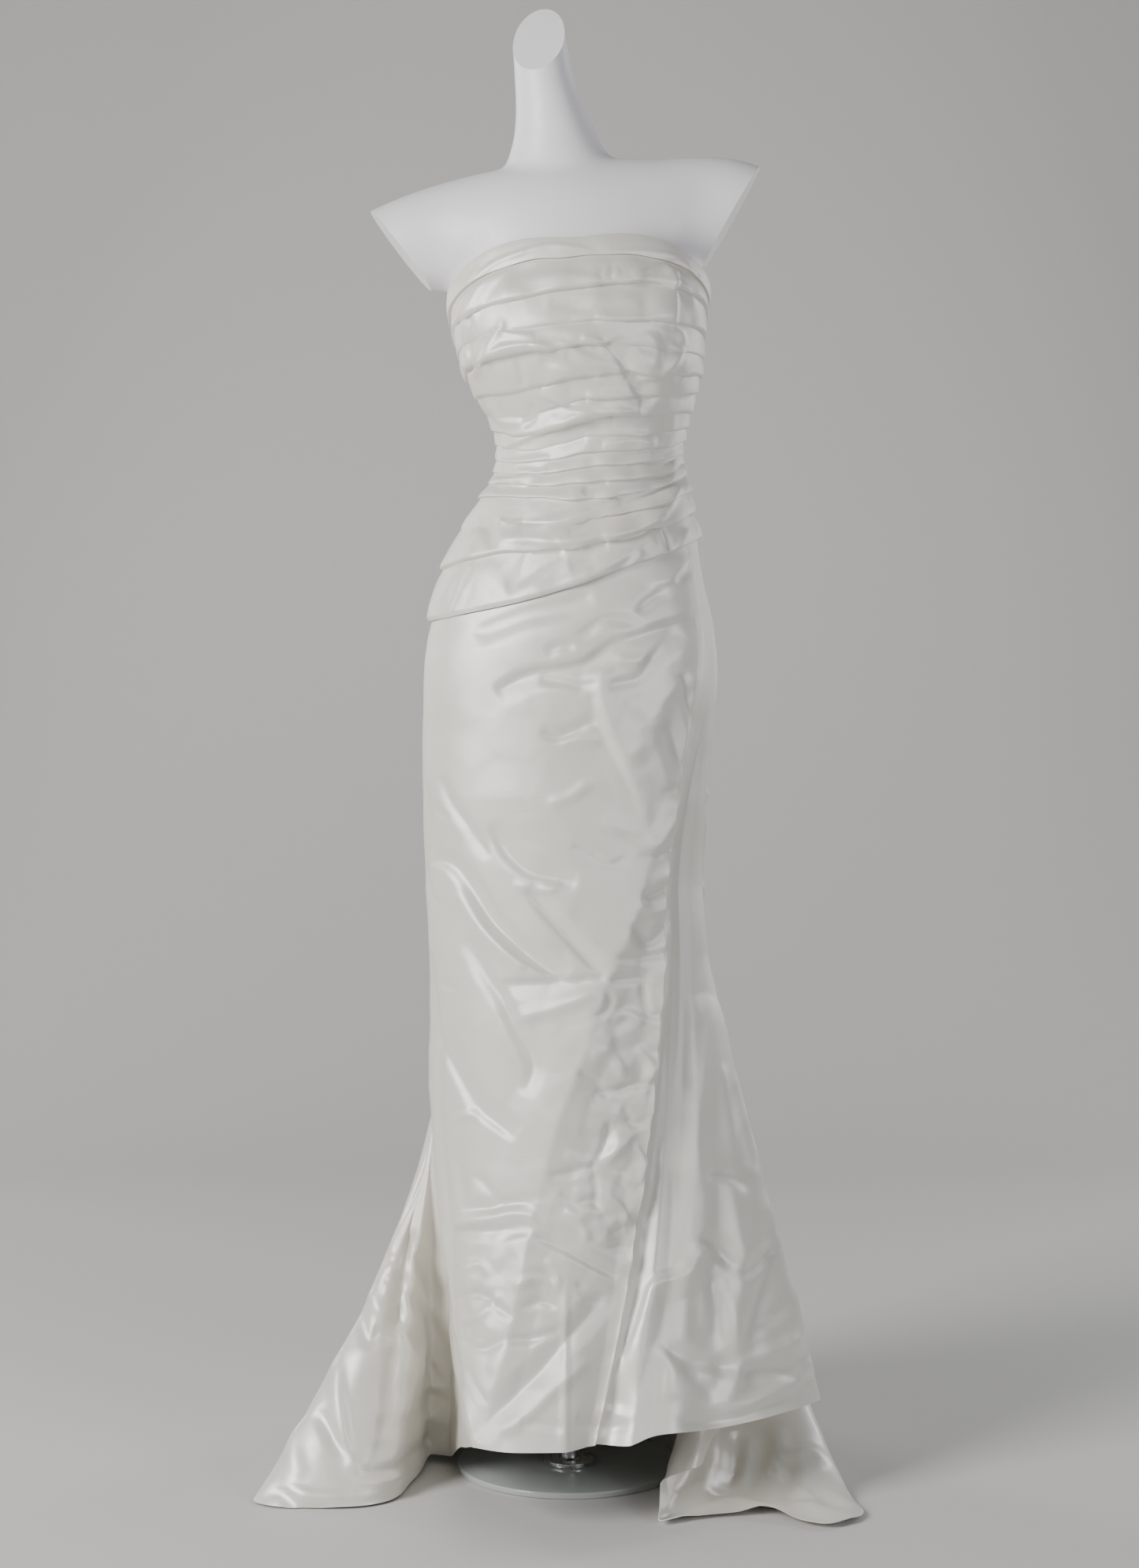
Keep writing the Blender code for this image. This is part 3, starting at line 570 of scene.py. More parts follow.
def noise(tree, vector, scale, detail=2.0, roughness=0.5):
    """A noise value over a vector; gives its output socket."""
    node = tree.nodes.new("ShaderNodeTexNoise")
    node.inputs["Detail"].default_value = detail
    node.inputs["Roughness"].default_value = roughness
    tree.links.new(vector, node.inputs["Vector"])
    if isinstance(scale, (int, float)):
        node.inputs["Scale"].default_value = scale
    else:
        tree.links.new(scale, node.inputs["Scale"])
    return node.outputs["Fac"]


# %% The satin weave group
THREAD = 0.0004


def make_weave_group():
    """Height of the floating threads and a mask of slubs, from a UV map in metres."""
    group, ins, outs = new_group(
        "satin_weave",
        [("Threads", "NodeSocketVector", None), ("Thread width", "NodeSocketFloat", THREAD)],
        [("Height", "NodeSocketFloat"), ("Slub", "NodeSocketFloat")],
    )
    split = group.nodes.new("ShaderNodeSeparateXYZ")
    group.links.new(ins.outputs["Threads"], split.inputs[0])
    turns = maths(group, "DIVIDE", 2 * math.pi, ins.outputs["Thread width"])
    warp = maths(group, "SINE", maths(group, "MULTIPLY", split.outputs[0], turns))
    weft = maths(group, "SINE", maths(group, "MULTIPLY", split.outputs[1], turns))
    slant = maths(group, "ADD", split.outputs[0], maths(group, "MULTIPLY", split.outputs[1], 0.2))
    tick = maths(group, "SINE", maths(group, "MULTIPLY", slant, maths(group, "MULTIPLY", turns, 0.2)))
    low = maths(group, "MULTIPLY", maths(group, "MULTIPLY", weft, tick), 0.25)
    height = maths(group, "ADD", maths(group, "MULTIPLY", warp, 0.5), low)
    group.links.new(height, outs.inputs["Height"])
    stretch = group.nodes.new("ShaderNodeMapping")
    stretch.inputs["Scale"].default_value = (6.0, 260.0, 1.0)
    group.links.new(ins.outputs["Threads"], stretch.inputs["Vector"])
    slub = maths(group, "SUBTRACT", noise(group, stretch.outputs[0], 1.0, 1.0), 0.62)
    group.links.new(maths(group, "MULTIPLY", maths(group, "MAXIMUM", slub, 0.0), 5.0), outs.inputs["Slub"])
    return group


# %% The cloudy tone group
def make_cloud_group():
    """Two soft masks over a piece: broad clouds, and fine mottling."""
    group, ins, outs = new_group(
        "cloudy_tone",
        [("Place", "NodeSocketVector", None), ("Scale", "NodeSocketFloat", 9.0)],
        [("Broad", "NodeSocketFloat"), ("Fine", "NodeSocketFloat")],
    )
    broad = noise(group, ins.outputs["Place"], ins.outputs["Scale"], 3.0)
    fine_scale = maths(group, "MULTIPLY", ins.outputs["Scale"], 14.0)
    fine = noise(group, ins.outputs["Place"], fine_scale, 4.0, 0.6)
    group.links.new(broad, outs.inputs["Broad"])
    group.links.new(fine, outs.inputs["Fine"])
    return group


weave_group = make_weave_group()
cloud_group = make_cloud_group()
print("groups:", weave_group.name, cloud_group.name)

# %% [markdown]
# ## Materials
#
# The satin is a warm white. Its threads make a broad highlight, and a thin sheen lifts the parts
# that turn away. Where cloth has been creased its face is rubbed, so the sheen is a little duller
# along the folds.

# %% Material helpers
def new_material(name):
    """A material with nodes; gives it, its tree and its shader."""
    material = bpy.data.materials.new(name)
    material.use_nodes = True
    return material, material.node_tree, material.node_tree.nodes["Principled BSDF"]


def place_group(tree, group, **links):
    """A group placed in a material, with its inputs linked or set by name."""
    node = tree.nodes.new("ShaderNodeGroup")
    node.node_tree = group
    for label, value in links.items():
        socket = node.inputs[label.replace("_", " ")]
        if isinstance(value, (int, float)):
            socket.default_value = value
        else:
            tree.links.new(value, socket)
    return node


def blend_colours(tree, mask, first, second):
    """A colour between two, by a mask."""
    node = tree.nodes.new("ShaderNodeMix")
    node.data_type = "RGBA"
    tree.links.new(mask, node.inputs[0])
    node.inputs[6].default_value = (*first, 1)
    node.inputs[7].default_value = (*second, 1)
    return node.outputs[2]


def value_range(tree, value, from_low, from_high, to_low, to_high):
    """A value moved from one range to another, and held there."""
    node = tree.nodes.new("ShaderNodeMapRange")
    tree.links.new(value, node.inputs["Value"])
    node.inputs["From Min"].default_value = from_low
    node.inputs["From Max"].default_value = from_high
    node.inputs["To Min"].default_value = to_low
    node.inputs["To Max"].default_value = to_high
    return node.outputs["Result"]


def bump(tree, height, distance, strength, under=None):
    """A Bump node over a height; gives its normal."""
    node = tree.nodes.new("ShaderNodeBump")
    node.inputs["Distance"].default_value = distance
    node.inputs["Strength"].default_value = strength
    tree.links.new(height, node.inputs["Height"])
    if under is not None:
        tree.links.new(under, node.inputs["Normal"])
    return node.outputs["Normal"]


# %% Ivory satin
SATIN_LIGHT = (0.74, 0.715, 0.65)
SATIN_DEEP = (0.68, 0.65, 0.575)


def make_satin():
    """Ivory silk satin: woven, cloudy, with a broad highlight and a thin sheen."""
    material, tree, shader = new_material("ivory_satin")
    uv = tree.nodes.new("ShaderNodeUVMap")
    uv.uv_map = "threads"
    place = tree.nodes.new("ShaderNodeTexCoord").outputs["Object"]
    weave = place_group(tree, weave_group, Threads=uv.outputs["UV"], Thread_width=THREAD)
    cloud = place_group(tree, cloud_group, Place=place, Scale=7.0)
    tone = value_range(tree, cloud.outputs["Broad"], 0.35, 0.65, 0.0, 0.6)
    mask = maths(tree, "ADD", tone, maths(tree, "MULTIPLY", weave.outputs["Slub"], 0.25))
    tree.links.new(blend_colours(tree, mask, SATIN_LIGHT, SATIN_DEEP), shader.inputs["Base Color"])
    fold = tree.nodes.new("ShaderNodeAttribute")
    fold.attribute_name = "fold"
    rubbed = value_range(tree, fold.outputs["Fac"], 0.001, 0.006, 0.0, 0.05)
    cloudy = value_range(tree, cloud.outputs["Fine"], 0.3, 0.7, 0.32, 0.39)
    tree.links.new(maths(tree, "ADD", cloudy, rubbed), shader.inputs["Roughness"])
    slubs = bump(tree, weave.outputs["Slub"], 0.00012, 0.5)
    tree.links.new(bump(tree, weave.outputs["Height"], 0.00005, 0.5, slubs), shader.inputs["Normal"])
    shader.inputs["IOR"].default_value = 1.85
    shader.inputs["Specular IOR Level"].default_value = 1.0
    shader.inputs["Sheen Weight"].default_value = 0.1
    shader.inputs["Sheen Roughness"].default_value = 0.35
    shader.inputs["Sheen Tint"].default_value = (1.0, 0.97, 0.90, 1)
    shader.inputs["Anisotropic"].default_value = 0.35
    return material


satin = make_satin()

# %% [markdown]
# The form is sprayed matte white, the stand's rod is brushed steel and its base is clear glass.

# %% Form, steel and glass
def make_form_paint():
    """Matte white paint with a faint orange-peel and a few soft scuffs."""
    material, tree, shader = new_material("white_form")
    place = tree.nodes.new("ShaderNodeTexCoord").outputs["Object"]
    cloud = place_group(tree, cloud_group, Place=place, Scale=6.0)
    tone = value_range(tree, cloud.outputs["Broad"], 0.4, 0.7, 0.0, 1.0)
    colour = blend_colours(tree, tone, (0.84, 0.83, 0.855), (0.79, 0.775, 0.80))
    tree.links.new(colour, shader.inputs["Base Color"])
    tree.links.new(value_range(tree, cloud.outputs["Fine"], 0.3, 0.7, 0.36, 0.52), shader.inputs["Roughness"])
    peel = noise(tree, place, 420.0, 2.0)
    tree.links.new(bump(tree, peel, 0.0003, 0.12), shader.inputs["Normal"])
    return material


def make_steel():
    """Steel brushed along the rod."""
    material, tree, shader = new_material("brushed_rod_steel")
    place = tree.nodes.new("ShaderNodeTexCoord").outputs["Object"]
    stretch = tree.nodes.new("ShaderNodeMapping")
    stretch.inputs["Scale"].default_value = (900.0, 900.0, 14.0)
    tree.links.new(place, stretch.inputs["Vector"])
    grain = noise(tree, stretch.outputs[0], 1.0, 3.0)
    colour = blend_colours(tree, grain, (0.62, 0.62, 0.64), (0.74, 0.74, 0.75))
    tree.links.new(colour, shader.inputs["Base Color"])
    tree.links.new(value_range(tree, grain, 0.3, 0.7, 0.20, 0.36), shader.inputs["Roughness"])
    tree.links.new(bump(tree, grain, 0.0001, 0.2), shader.inputs["Normal"])
    shader.inputs["Metallic"].default_value = 1.0
    shader.inputs["Anisotropic"].default_value = 0.5
    return material


def make_glass():
    """Pale glass, clear enough to see into, with a faint green cast and finger-smudged polish."""
    material, tree, shader = new_material("clear_base_glass")
    place = tree.nodes.new("ShaderNodeTexCoord").outputs["Object"]
    cloud = place_group(tree, cloud_group, Place=place, Scale=12.0)
    smudged = value_range(tree, cloud.outputs["Broad"], 0.45, 0.75, 0.02, 0.10)
    tree.links.new(smudged, shader.inputs["Roughness"])
    tone = blend_colours(tree, cloud.outputs["Fine"], (0.93, 0.97, 0.96), (0.90, 0.955, 0.94))
    tree.links.new(tone, shader.inputs["Base Color"])
    shader.inputs["Transmission Weight"].default_value = 0.6
    shader.inputs["IOR"].default_value = 1.5
    return material


form_paint, steel, glass = make_form_paint(), make_steel(), make_glass()
print("materials:", satin.name, form_paint.name, steel.name, glass.name)

# %% [markdown]
# ## The ruched bodice
#
# A draped bodice starts as one plain piece, laid in pleats that are tacked at the side seams. Each
# pleat rises out from under the one above, rolls over at its lower edge and drops back. Here one
# grid runs all round, and is cut at the seams afterwards, so the folds meet across them.

# %% The bodice's grid
BODICE_FRONT_COLUMNS = 200
BODICE_BACK_COLUMNS = 84
FINE_PLEAT = 1.5
PLEAT_SECTION = (
    (0.00, 0.05), (0.05, 0.10), (0.12, 0.20), (0.20, 0.33), (0.29, 0.47), (0.39, 0.61), (0.49, 0.73),
    (0.59, 0.84), (0.68, 0.92), (0.76, 0.97), (0.83, 1.00), (0.89, 1.00), (0.94, 0.93), (0.975, 0.62),
)


def uneven(at, seed, waves):
    """A smooth wandering value between about -1 and 1, from a few sines of odd lengths."""
    random = np.random.default_rng(seed)
    total = 0 * at
    for wave in waves:
        total = total + np.sin(at * wave + random.uniform(0, 2 * math.pi)) / len(waves)
    return total


def pleat_height(edge, bearing):
    """The height of a pleat's edge, which wanders a little between its tabled places."""
    wander = 0.0 if edge in (0, len(PLEATS) - 1) else 0.0016
    turn = np.radians(bearing)
    return round_the_gown(PLEATS[edge][:-1], bearing) + wander * uneven(turn, edge, (5, 8, 13))


def pleat_depth(edge, bearing):
    """How far a pleat's edge stands out at a bearing."""
    turn = np.radians(bearing)
    strength = round_the_gown(PLEAT_STRENGTH[edge], bearing)
    return FINE_PLEAT * PLEATS[edge][-1] * strength * (1 + 0.3 * uneven(turn, 40 + edge, (7, 11, 17)))


def bodice_grid(bearings):
    """The pleated surface from the band's lower edge to the slanting seam."""
    rows, lifts = [], []
    last = len(PLEATS) - 1
    for edge in range(1, last):
        upper, lower = pleat_height(edge, bearings), pleat_height(edge + 1, bearings)
        depth = pleat_depth(edge + 1, bearings)
        rest = pleat_depth(edge, bearings) * 0.12
        for share, rise in PLEAT_SECTION:
            lift = depth * rise + rest * (1 - share)
            rows.append(body_point(upper + (lower - upper) * share, bearings, FORM_CLEARANCE + CLOTH + lift))
            lifts.append(lift)
    lift = PLEATS[last][-1] / 2 + 0 * bearings
    rows.append(body_point(pleat_height(last, bearings), bearings, FORM_CLEARANCE + CLOTH + lift))
    lifts.append(lift)
    return np.array(rows), np.array(lifts)


front_bearings = np.linspace(-90, 90, BODICE_FRONT_COLUMNS + 1)[:-1]
right_bearings = np.linspace(90, 180, BODICE_BACK_COLUMNS + 1)[:-1]
left_bearings = np.linspace(180, 270, BODICE_BACK_COLUMNS + 1)[:-1]
bodice_bearings = np.concatenate([front_bearings, right_bearings, left_bearings])
bodice_points, bodice_fold = bodice_grid(bodice_bearings)
print("bodice grid", bodice_points.shape[:2])

# %% [markdown]
# The pleats alone look combed. What makes the drape real is where they disagree: long folds that
# sweep down the left side into the waist, short pinches where two pleats push on each other, and
# broad diagonals where the cloth is pulled towards the right hip.

# %% The bodice's creases
# In each crease table a row is height, left_width, right_width, places.
BODICE_CREASES = (
    # Long folds that sweep down the left side
    (4.5, 5, 9,
     ((-6.8, 148.9), (-10.1, 146.6), (-11.8, 143.9), (-12.5, 140.6), (-12.0, 136.7), (-11.5, 134.0))),
    (4.0, 5, 8, ((-10.5, 146.9), (-12.5, 144.3), (-13.4, 141.3), (-13.1, 138.0), (-11.8, 135.0))),
    (3.0, 4, 12, ((-2.9, 149.4), (-6.8, 148.3), (-9.1, 146.6), (-10.8, 144.3), (-11.5, 142.0))),
    (3.5, 5, 9, ((-8.1, 142.3), (-8.0, 141.3), (-9.1, 139.6), (-10.5, 137.3), (-11.3, 135.3))),
    (2.5, 5, 6, ((-14.0, 142.0), (-13.6, 138.0), (-12.0, 134.0))),
    # The long roll under the left of the bust
    (5.0, 5, 14,
     ((-11.5, 135.3), (-10.1, 137.7), (-8.1, 138.8), (-5.8, 139.2), (-2.8, 139.0), (-0.2, 138.3))),
    (4.5, 10, 12, ((-4.6, 139.3), (-0.4, 138.8), (2.4, 137.3), (5.1, 136.5), (6.8, 135.3))),
    (-2.5, 8, 10, ((-3.6, 137.6), (0.4, 136.6), (3.4, 135.4))),
    (3.0, 6, 9, ((-9.4, 141.0), (-7.7, 140.6), (-4.2, 140.1))),
    # The diagonal hollow and the folds that end on it
    (-5.0, 22, 8, ((4.8, 139.6), (6.1, 137.7), (7.4, 135.3), (9.2, 132.0))),
    (3.0, 8, 8, ((1.4, 140.0), (3.6, 139.4), (4.6, 138.0))),
    (3.5, 14, 14, ((9.2, 140.6), (10.4, 138.6), (9.6, 136.6))),
    (-3.0, 5, 9, ((-6.2, 137.3), (-5.8, 136.0), (-5.4, 134.0))),
    # Soft folds over the bust
    (2.5, 5, 14, ((3.1, 142.6), (6.1, 142.3), (10.4, 142.3))),
    (2.5, 6, 14, ((-5.6, 147.2), (-1.0, 147.6), (3.8, 147.0))),
    (-2.0, 8, 12, ((-2.4, 144.2), (3.0, 143.6), (8.0, 144.0))),
    (2.2, 4, 6, ((3.9, 147.2), (4.8, 148.2))),
    (2.2, 4, 6, ((5.3, 147.2), (5.9, 148.0))),
    (3.0, 6, 8, ((7.4, 147.6), (9.4, 148.4), (11.4, 148.6), (12.4, 147.4))),
    # The upright turn at the right of the bust, and what hangs from it
    (5.5, 4, 34, ((12.7, 148.4), (12.7, 145.6), (12.7, 143.0), (12.5, 141.0))),
    (3.5, 5, 10, ((12.4, 141.8), (13.4, 140.6), (14.0, 139.2))),
    (5.0, 5, 24, ((13.6, 139.0), (13.0, 137.4), (11.7, 136.0), (7.7, 134.8))),
    (3.0, 6, 10, ((12.6, 147.0), (14.0, 145.8), (15.0, 143.6))),
    (3.0, 8, 10, ((12.8, 134.2), (14.0, 135.8), (15.4, 136.6))),
    # Folds between the bust and the waist
    (5.0, 24, 5, ((-3.5, 133.3), (0.1, 132.0), (3.8, 131.4), (8.4, 131.2))),
    (3.5, 8, 10, ((2.0, 133.0), (6.0, 133.2), (9.4, 132.4))),
    (4.5, 16, 4,
     ((-8.1, 126.7), (-6.5, 127.4), (-4.2, 128.4), (-1.5, 129.5), (1.1, 130.2), (5.1, 130.2))),
    (3.0, 6, 8, ((-2.2, 128.7), (0.1, 130.4), (5.1, 131.2), (9.7, 131.0))),
    (-3.0, 6, 8, ((-4.5, 132.2), (-4.3, 130.7), (-5.5, 129.4))),
    (3.0, 8, 8, ((-9.6, 132.4), (-8.2, 130.2), (-5.6, 129.8))),
    (-2.5, 10, 10, ((-10.0, 131.0), (-9.0, 128.8), (-8.8, 127.0))),
    (2.5, 6, 12, ((1.8, 128.4), (6.8, 128.6), (10.6, 128.2))),
    (2.5, 6, 9, ((4.0, 127.3), (8.4, 127.7), (10.6, 127.3))),
    (-2.5, 12, 20, ((11.3, 131.2), (11.6, 127.0), (11.4, 122.8))),
    # Gathers at the left of the waist
    (2.6, 5, 8, ((-9.6, 125.2), (-6.2, 125.3), (-2.4, 125.8))),
    (2.6, 5, 7, ((-9.8, 122.9), (-6.0, 123.2), (-2.6, 124.2))),
    (-2.2, 8, 8, ((-9.0, 121.8), (-7.0, 122.4), (-5.0, 122.0))),
    (-2.6, 6, 8, ((1.6, 121.6), (3.0, 122.4), (4.6, 122.8))),
    # Pulls towards the right hip
    (5.5, 38, 5,
     ((-8.8, 115.6), (-5.5, 115.8), (-1.5, 115.3), (1.8, 115.8), (8.4, 117.1), (11.7, 119.1), (13.4, 122.4))),
    (-4.0, 14, 20, ((-0.2, 116.5), (2.4, 118.1), (5.8, 120.1), (9.4, 121.6), (12.4, 123.1))),
    (3.5, 10, 12, ((-5.4, 117.2), (-1.6, 118.0), (2.2, 119.4), (6.0, 121.0))),
    (3.0, 6, 7, ((-8.6, 118.2), (-7.2, 117.7), (-5.6, 117.9))),
    (-2.5, 14, 10, ((-10.4, 119.4), (-9.8, 117.0), (-9.4, 114.8))),
    # Soft diagonals above the slanting seam
    (-5.0, 22, 14, ((-7.6, 109.8), (-5.4, 111.6), (-3.5, 113.2), (-0.9, 114.8))),
    (-4.5, 12, 12, ((0.1, 112.7), (1.8, 113.5), (3.4, 115.1), (4.6, 115.5))),
    (4.5, 18, 9,
     ((-4.4, 108.9), (-1.9, 109.5), (1.1, 110.5), (3.8, 112.2), (7.1, 114.2), (10.4, 115.8))),
    (3.5, 6, 10, ((6.4, 111.8), (7.7, 113.2), (8.7, 114.5))),
    (-3.0, 6, 6, ((11.2, 117.3), (11.9, 115.6), (12.2, 114.0))),
    (3.0, 6, 8, ((12.9, 114.6), (13.6, 116.0), (14.4, 117.0))),
    (-3.0, 10, 12, ((-14.4, 108.0), (-13.6, 110.6), (-11.6, 113.6))),
    (3.0, 8, 10, ((-14.2, 106.6), (-13.6, 108.8), (-12.4, 110.8))),
)


def add_creases(chart, creases, mask=1.0):
    """The lift of a whole table of creases."""
    total = np.zeros(chart.shape[:-1])
    for height, left_width, right_width, places in creases:
        total += crease_height(chart, height, left_width, right_width, places)
    return total * mask


bodice_normals = surface_normals(bodice_points, closed=True)
bodice_chart = seen_from_front(bodice_points)
bodice_faces_front = np.clip(-bodice_normals[..., 1] * 2.5, 0, 1)
bodice_lift = add_creases(bodice_chart, BODICE_CREASES, bodice_faces_front)
print("bodice creases:", len(BODICE_CREASES))

# %% [markdown]
# The back isn't in the photograph. It gets folds of the same kind: they run from the sides to the
# centre seam, where the concealed fastening holds them flat.

# %% The back of the bodice
BODICE_BACK_CREASES = (
    (6.1, 7, 9, ((-14.0, 139.0), (-9.0, 137.4), (-3.2, 138.4))),
    (5.6, 9, 6, ((3.0, 136.8), (8.0, 138.4), (13.6, 141.4))),
    (6.1, 6, 9, ((-12.6, 131.6), (-7.4, 133.4), (-2.4, 132.6))),
    (6.7, 8, 8, ((2.2, 130.4), (7.0, 132.6), (12.4, 136.4))),
    (5.2, 6, 7, ((-10.6, 125.4), (-6.2, 126.8), (-2.0, 126.2))),
    (4.9, 7, 7, ((2.6, 125.8), (7.0, 126.8), (12.0, 130.0))),
    (5.8, 9, 7, ((-12.0, 119.0), (-7.0, 120.6), (-2.2, 119.8))),
    (6.5, 8, 10, ((2.0, 117.4), (7.6, 119.8), (12.8, 125.0))),
    (5.6, 9, 9, ((-14.0, 111.4), (-8.0, 114.8), (-2.6, 114.2))),
)

bodice_behind = seen_square_on(bodice_points, 0)
bodice_faces_back = np.clip(bodice_normals[..., 1] * 2.5, 0, 1)
bodice_lift += add_creases(bodice_behind, BODICE_BACK_CREASES, bodice_faces_back)
bodice_lift += crumple(bodice_points, 0.05, 0.05, 3) + crumple(bodice_points, 0.024, 0.04, 4) * 0.7
bodice_lift = softened(bodice_lift, 1)
seam_hold = np.ones(len(bodice_lift))
seam_hold[-6:] = np.linspace(1, 0.1, 6)
seam_hold[:5] = np.linspace(0.2, 1, 5)
bodice_lift *= seam_hold[:, None]
bodice_lift = np.maximum(bodice_lift + bodice_fold, 0) - bodice_fold
bodice_points = bodice_points + bodice_normals * bodice_lift[..., None]
bodice_fold = bodice_fold + bodice_lift
print("bodice stands out by up to", round(float(bodice_fold.max()) * 1000, 1), "mm")

# %% Cut the bodice at its seams
HALF_SEAM_GAP = 0.0002


def drawn_in(points, left=True, right=True, top=True, bottom=True):
    """A panel's points with the stated edges moved inwards by half a seam's gap."""
    points = points.copy()
    edges = (
        (left, points[:, 0], points[:, 1]), (right, points[:, -1], points[:, -2]),
        (top, points[0], points[1]), (bottom, points[-1], points[-2]),
    )
    for wanted, edge, inside in edges:
        if wanted:
            way = inside - edge
            edge += way / np.linalg.norm(way, axis=-1, keepdims=True) * HALF_SEAM_GAP
    return points


def cut_panel(name, grid, fold, first, last, material, **edges):
    """One sewn panel: some columns of a closed grid, made a cloth piece."""
    columns = np.arange(first, last + 1) % grid.shape[1]
    part = drawn_in(grid[:, columns], **edges)
    piece = cloth_piece(name, part, surface_normals(part, closed=False), fold[:, columns], material)
    return piece, sheet_size(part)


seams = (0, BODICE_FRONT_COLUMNS, BODICE_FRONT_COLUMNS + BODICE_BACK_COLUMNS, len(bodice_bearings))
bodice_names = ("bodice_front", "bodice_back_right", "bodice_back_left")
cloth = {}
for node, first, last in zip(bodice_names, seams[:-1], seams[1:]):
    cloth[node] = cut_panel(node + "_satin", bodice_points, bodice_fold, first, last, satin)
print({node: size for node, (piece, size) in cloth.items()})

# %% [markdown]
# ## The neckline band
#
# A bias strip is folded over the top edge all round. It is a soft roll, fuller in its middle, with a
# few slack folds where it turns the corners at the sides.

# %% The band
BAND_ROWS = 16
BAND_LIFT = 0.0018
BAND_CREASES = (
    (2.2, 5, 5, ((-13.6, 142.8), (-12.2, 145.8), (-9.4, 148.6), (-5.2, 150.4))),
    (1.7, 5, 5, ((-14.4, 141.6), (-13.2, 145.2), (-10.8, 148.4))),
    (1.4, 4, 6, ((-7.4, 149.6), (-2.6, 151.0), (3.0, 150.4))),
    (1.6, 5, 6, ((4.6, 150.2), (9.6, 150.2), (13.2, 149.4), (15.4, 146.4))),
    (1.7, 4, 6, ((10.6, 149.2), (13.6, 148.8), (15.8, 144.6))),
)


def make_band():
    """The folded band: a closed ring whose section is a soft roll."""
    bearings = bodice_bearings
    upper, lower = pleat_height(0, bearings), pleat_height(1, bearings)
    rows, lifts = [], []
    for share in np.linspace(0, 1, BAND_ROWS):
        roll = 0.35 + 0.65 * math.sin(math.pi * (0.12 + 0.76 * share)) ** 0.8
        lift = BAND_LIFT + roll * PLEATS[0][-1] * (1 + 0.2 * uneven(np.radians(bearings), 5, (6, 9, 15)))
        rows.append(body_point(upper + (lower - upper) * share, bearings, FORM_CLEARANCE + CLOTH + lift))
        lifts.append(lift)
    grid = np.array(rows)
    normals = surface_normals(grid, closed=True)
    facing = np.clip(-normals[..., 1] * 2.5, 0, 1)
    lift = add_creases(seen_from_front(grid), BAND_CREASES, facing) + crumple(grid, 0.03, 0.05, 9) * 0.8
    lift = softened(lift, 2)
    grid = grid + normals * lift[..., None]
    inner = body_point(grid[..., 2], np.tile(bearings, (BAND_ROWS, 1)), FORM_CLEARANCE)
    grid = drawn_in(grid, left=False, right=False, top=False)
    inner = drawn_in(inner, left=False, right=False, top=False)
    piece = cloth_piece("neckline_band_satin", grid, None, np.array(lifts) + lift, satin, True, inner)
    width, length, area = sheet_size(np.concatenate([grid, grid[:, :1]], axis=1))
    turned_edge = float(np.linalg.norm(grid[0] - inner[0], axis=-1).mean())
    return piece, (width, round(length + turned_edge, 3), round(area + width * turned_edge, 4))


cloth["neckline_band"] = make_band()
print("band cut to", cloth["neckline_band"][1])

# %% [markdown]
# ## The skirt
#
# Each fold of the skirt falls down the body to its knee and then swings out to its own place at the
# hem, along a smooth curve. A closed curve through the folds at every height gives the cloth
# between them.

# %% The skirt's grid
SKIRT_ROWS = 306
SKIRT_BODY_SHARE = 0.56
COLUMNS_PER_STEP = {"front": 6, "right": 4, "left": 7}
HIP_SEAM_EASE = 0.0003


def fold_places():
    """The fold number at every fine column, and the fine columns where the three seams lie."""
    steps = column(SKIRT, SKIRT_COLUMNS, "steps").astype(int)
    places, seam_columns = [], []
    for fold, count in enumerate(steps):
        if fold in (LEFT_SEAM, RIGHT_SEAM, BACK_SEAM):
            seam_columns.append(sum(len(part) for part in places))
        panel = "front" if fold < RIGHT_SEAM else "right" if fold < BACK_SEAM else "left"
        fine = int(count) * COLUMNS_PER_STEP[panel]
        places.append(fold + np.arange(fine) / fine)
    seam_columns.append(sum(len(part) for part in places))
    return np.concatenate(places), seam_columns


def skirt_surface(at):
    """Points of the skirt's surface: rows from the hip seam to the hem, columns at the fold numbers."""
    folds = len(SKIRT)
    knots = np.arange(-folds, 2 * folds)

    def spline(name):
        values = column(SKIRT, SKIRT_COLUMNS, name)
        turns = np.array([-360, 0, 360] if name.endswith("bearing") else [0, 0, 0])
        return hermite(knots, (values + turns[:, None]).ravel(), at, bounded=True)

    hip, knee, knee_z = spline("hip_bearing"), spline("knee_bearing"), spline("knee_z")
    hem = np.stack([spline("hem_x"), spline("hem_y"), spline("hem_z")], axis=-1)
    top_z = round_the_gown(PLEATS[-1][:-1], hip) - HIP_SEAM_EASE
    out = FORM_CLEARANCE + CLOTH

    def on_body(share):
        return body_point(top_z + (knee_z - top_z) * share, hip + (knee - hip) * share, out)

    knee_point = on_body(1.0)
    last_step = 0.01
    fall = (knee_point - on_body(1.0 - last_step)) / (last_step * (top_z - knee_z))[:, None]
    pull = knee_point + fall * (knee_z - spline("pull_z"))[:, None]
    pull += np.stack([spline("pull_x"), spline("pull_y"), 0 * at], axis=-1)
    body_rows = int(SKIRT_ROWS * SKIRT_BODY_SHARE)
    rows = [on_body(share) for share in np.linspace(0, 1, body_rows)]
    for t in np.linspace(0, 1, SKIRT_ROWS - body_rows + 1)[1:]:
        rows.append((1 - t) ** 2 * knee_point + 2 * t * (1 - t) * pull + t * t * hem)
    return np.array(rows)


fold_at, skirt_seams = fold_places()
skirt = skirt_surface(fold_at)
print("skirt grid", skirt.shape[:2], "with seams at columns", skirt_seams)

# %% [markdown]
# ### The front's creases
#
# One long pressed ridge wanders from the right hip down to the hem's left end, and everything else
# answers it: pulled facets fan out from it, and crushed cloth fills the strip beside the right seam.

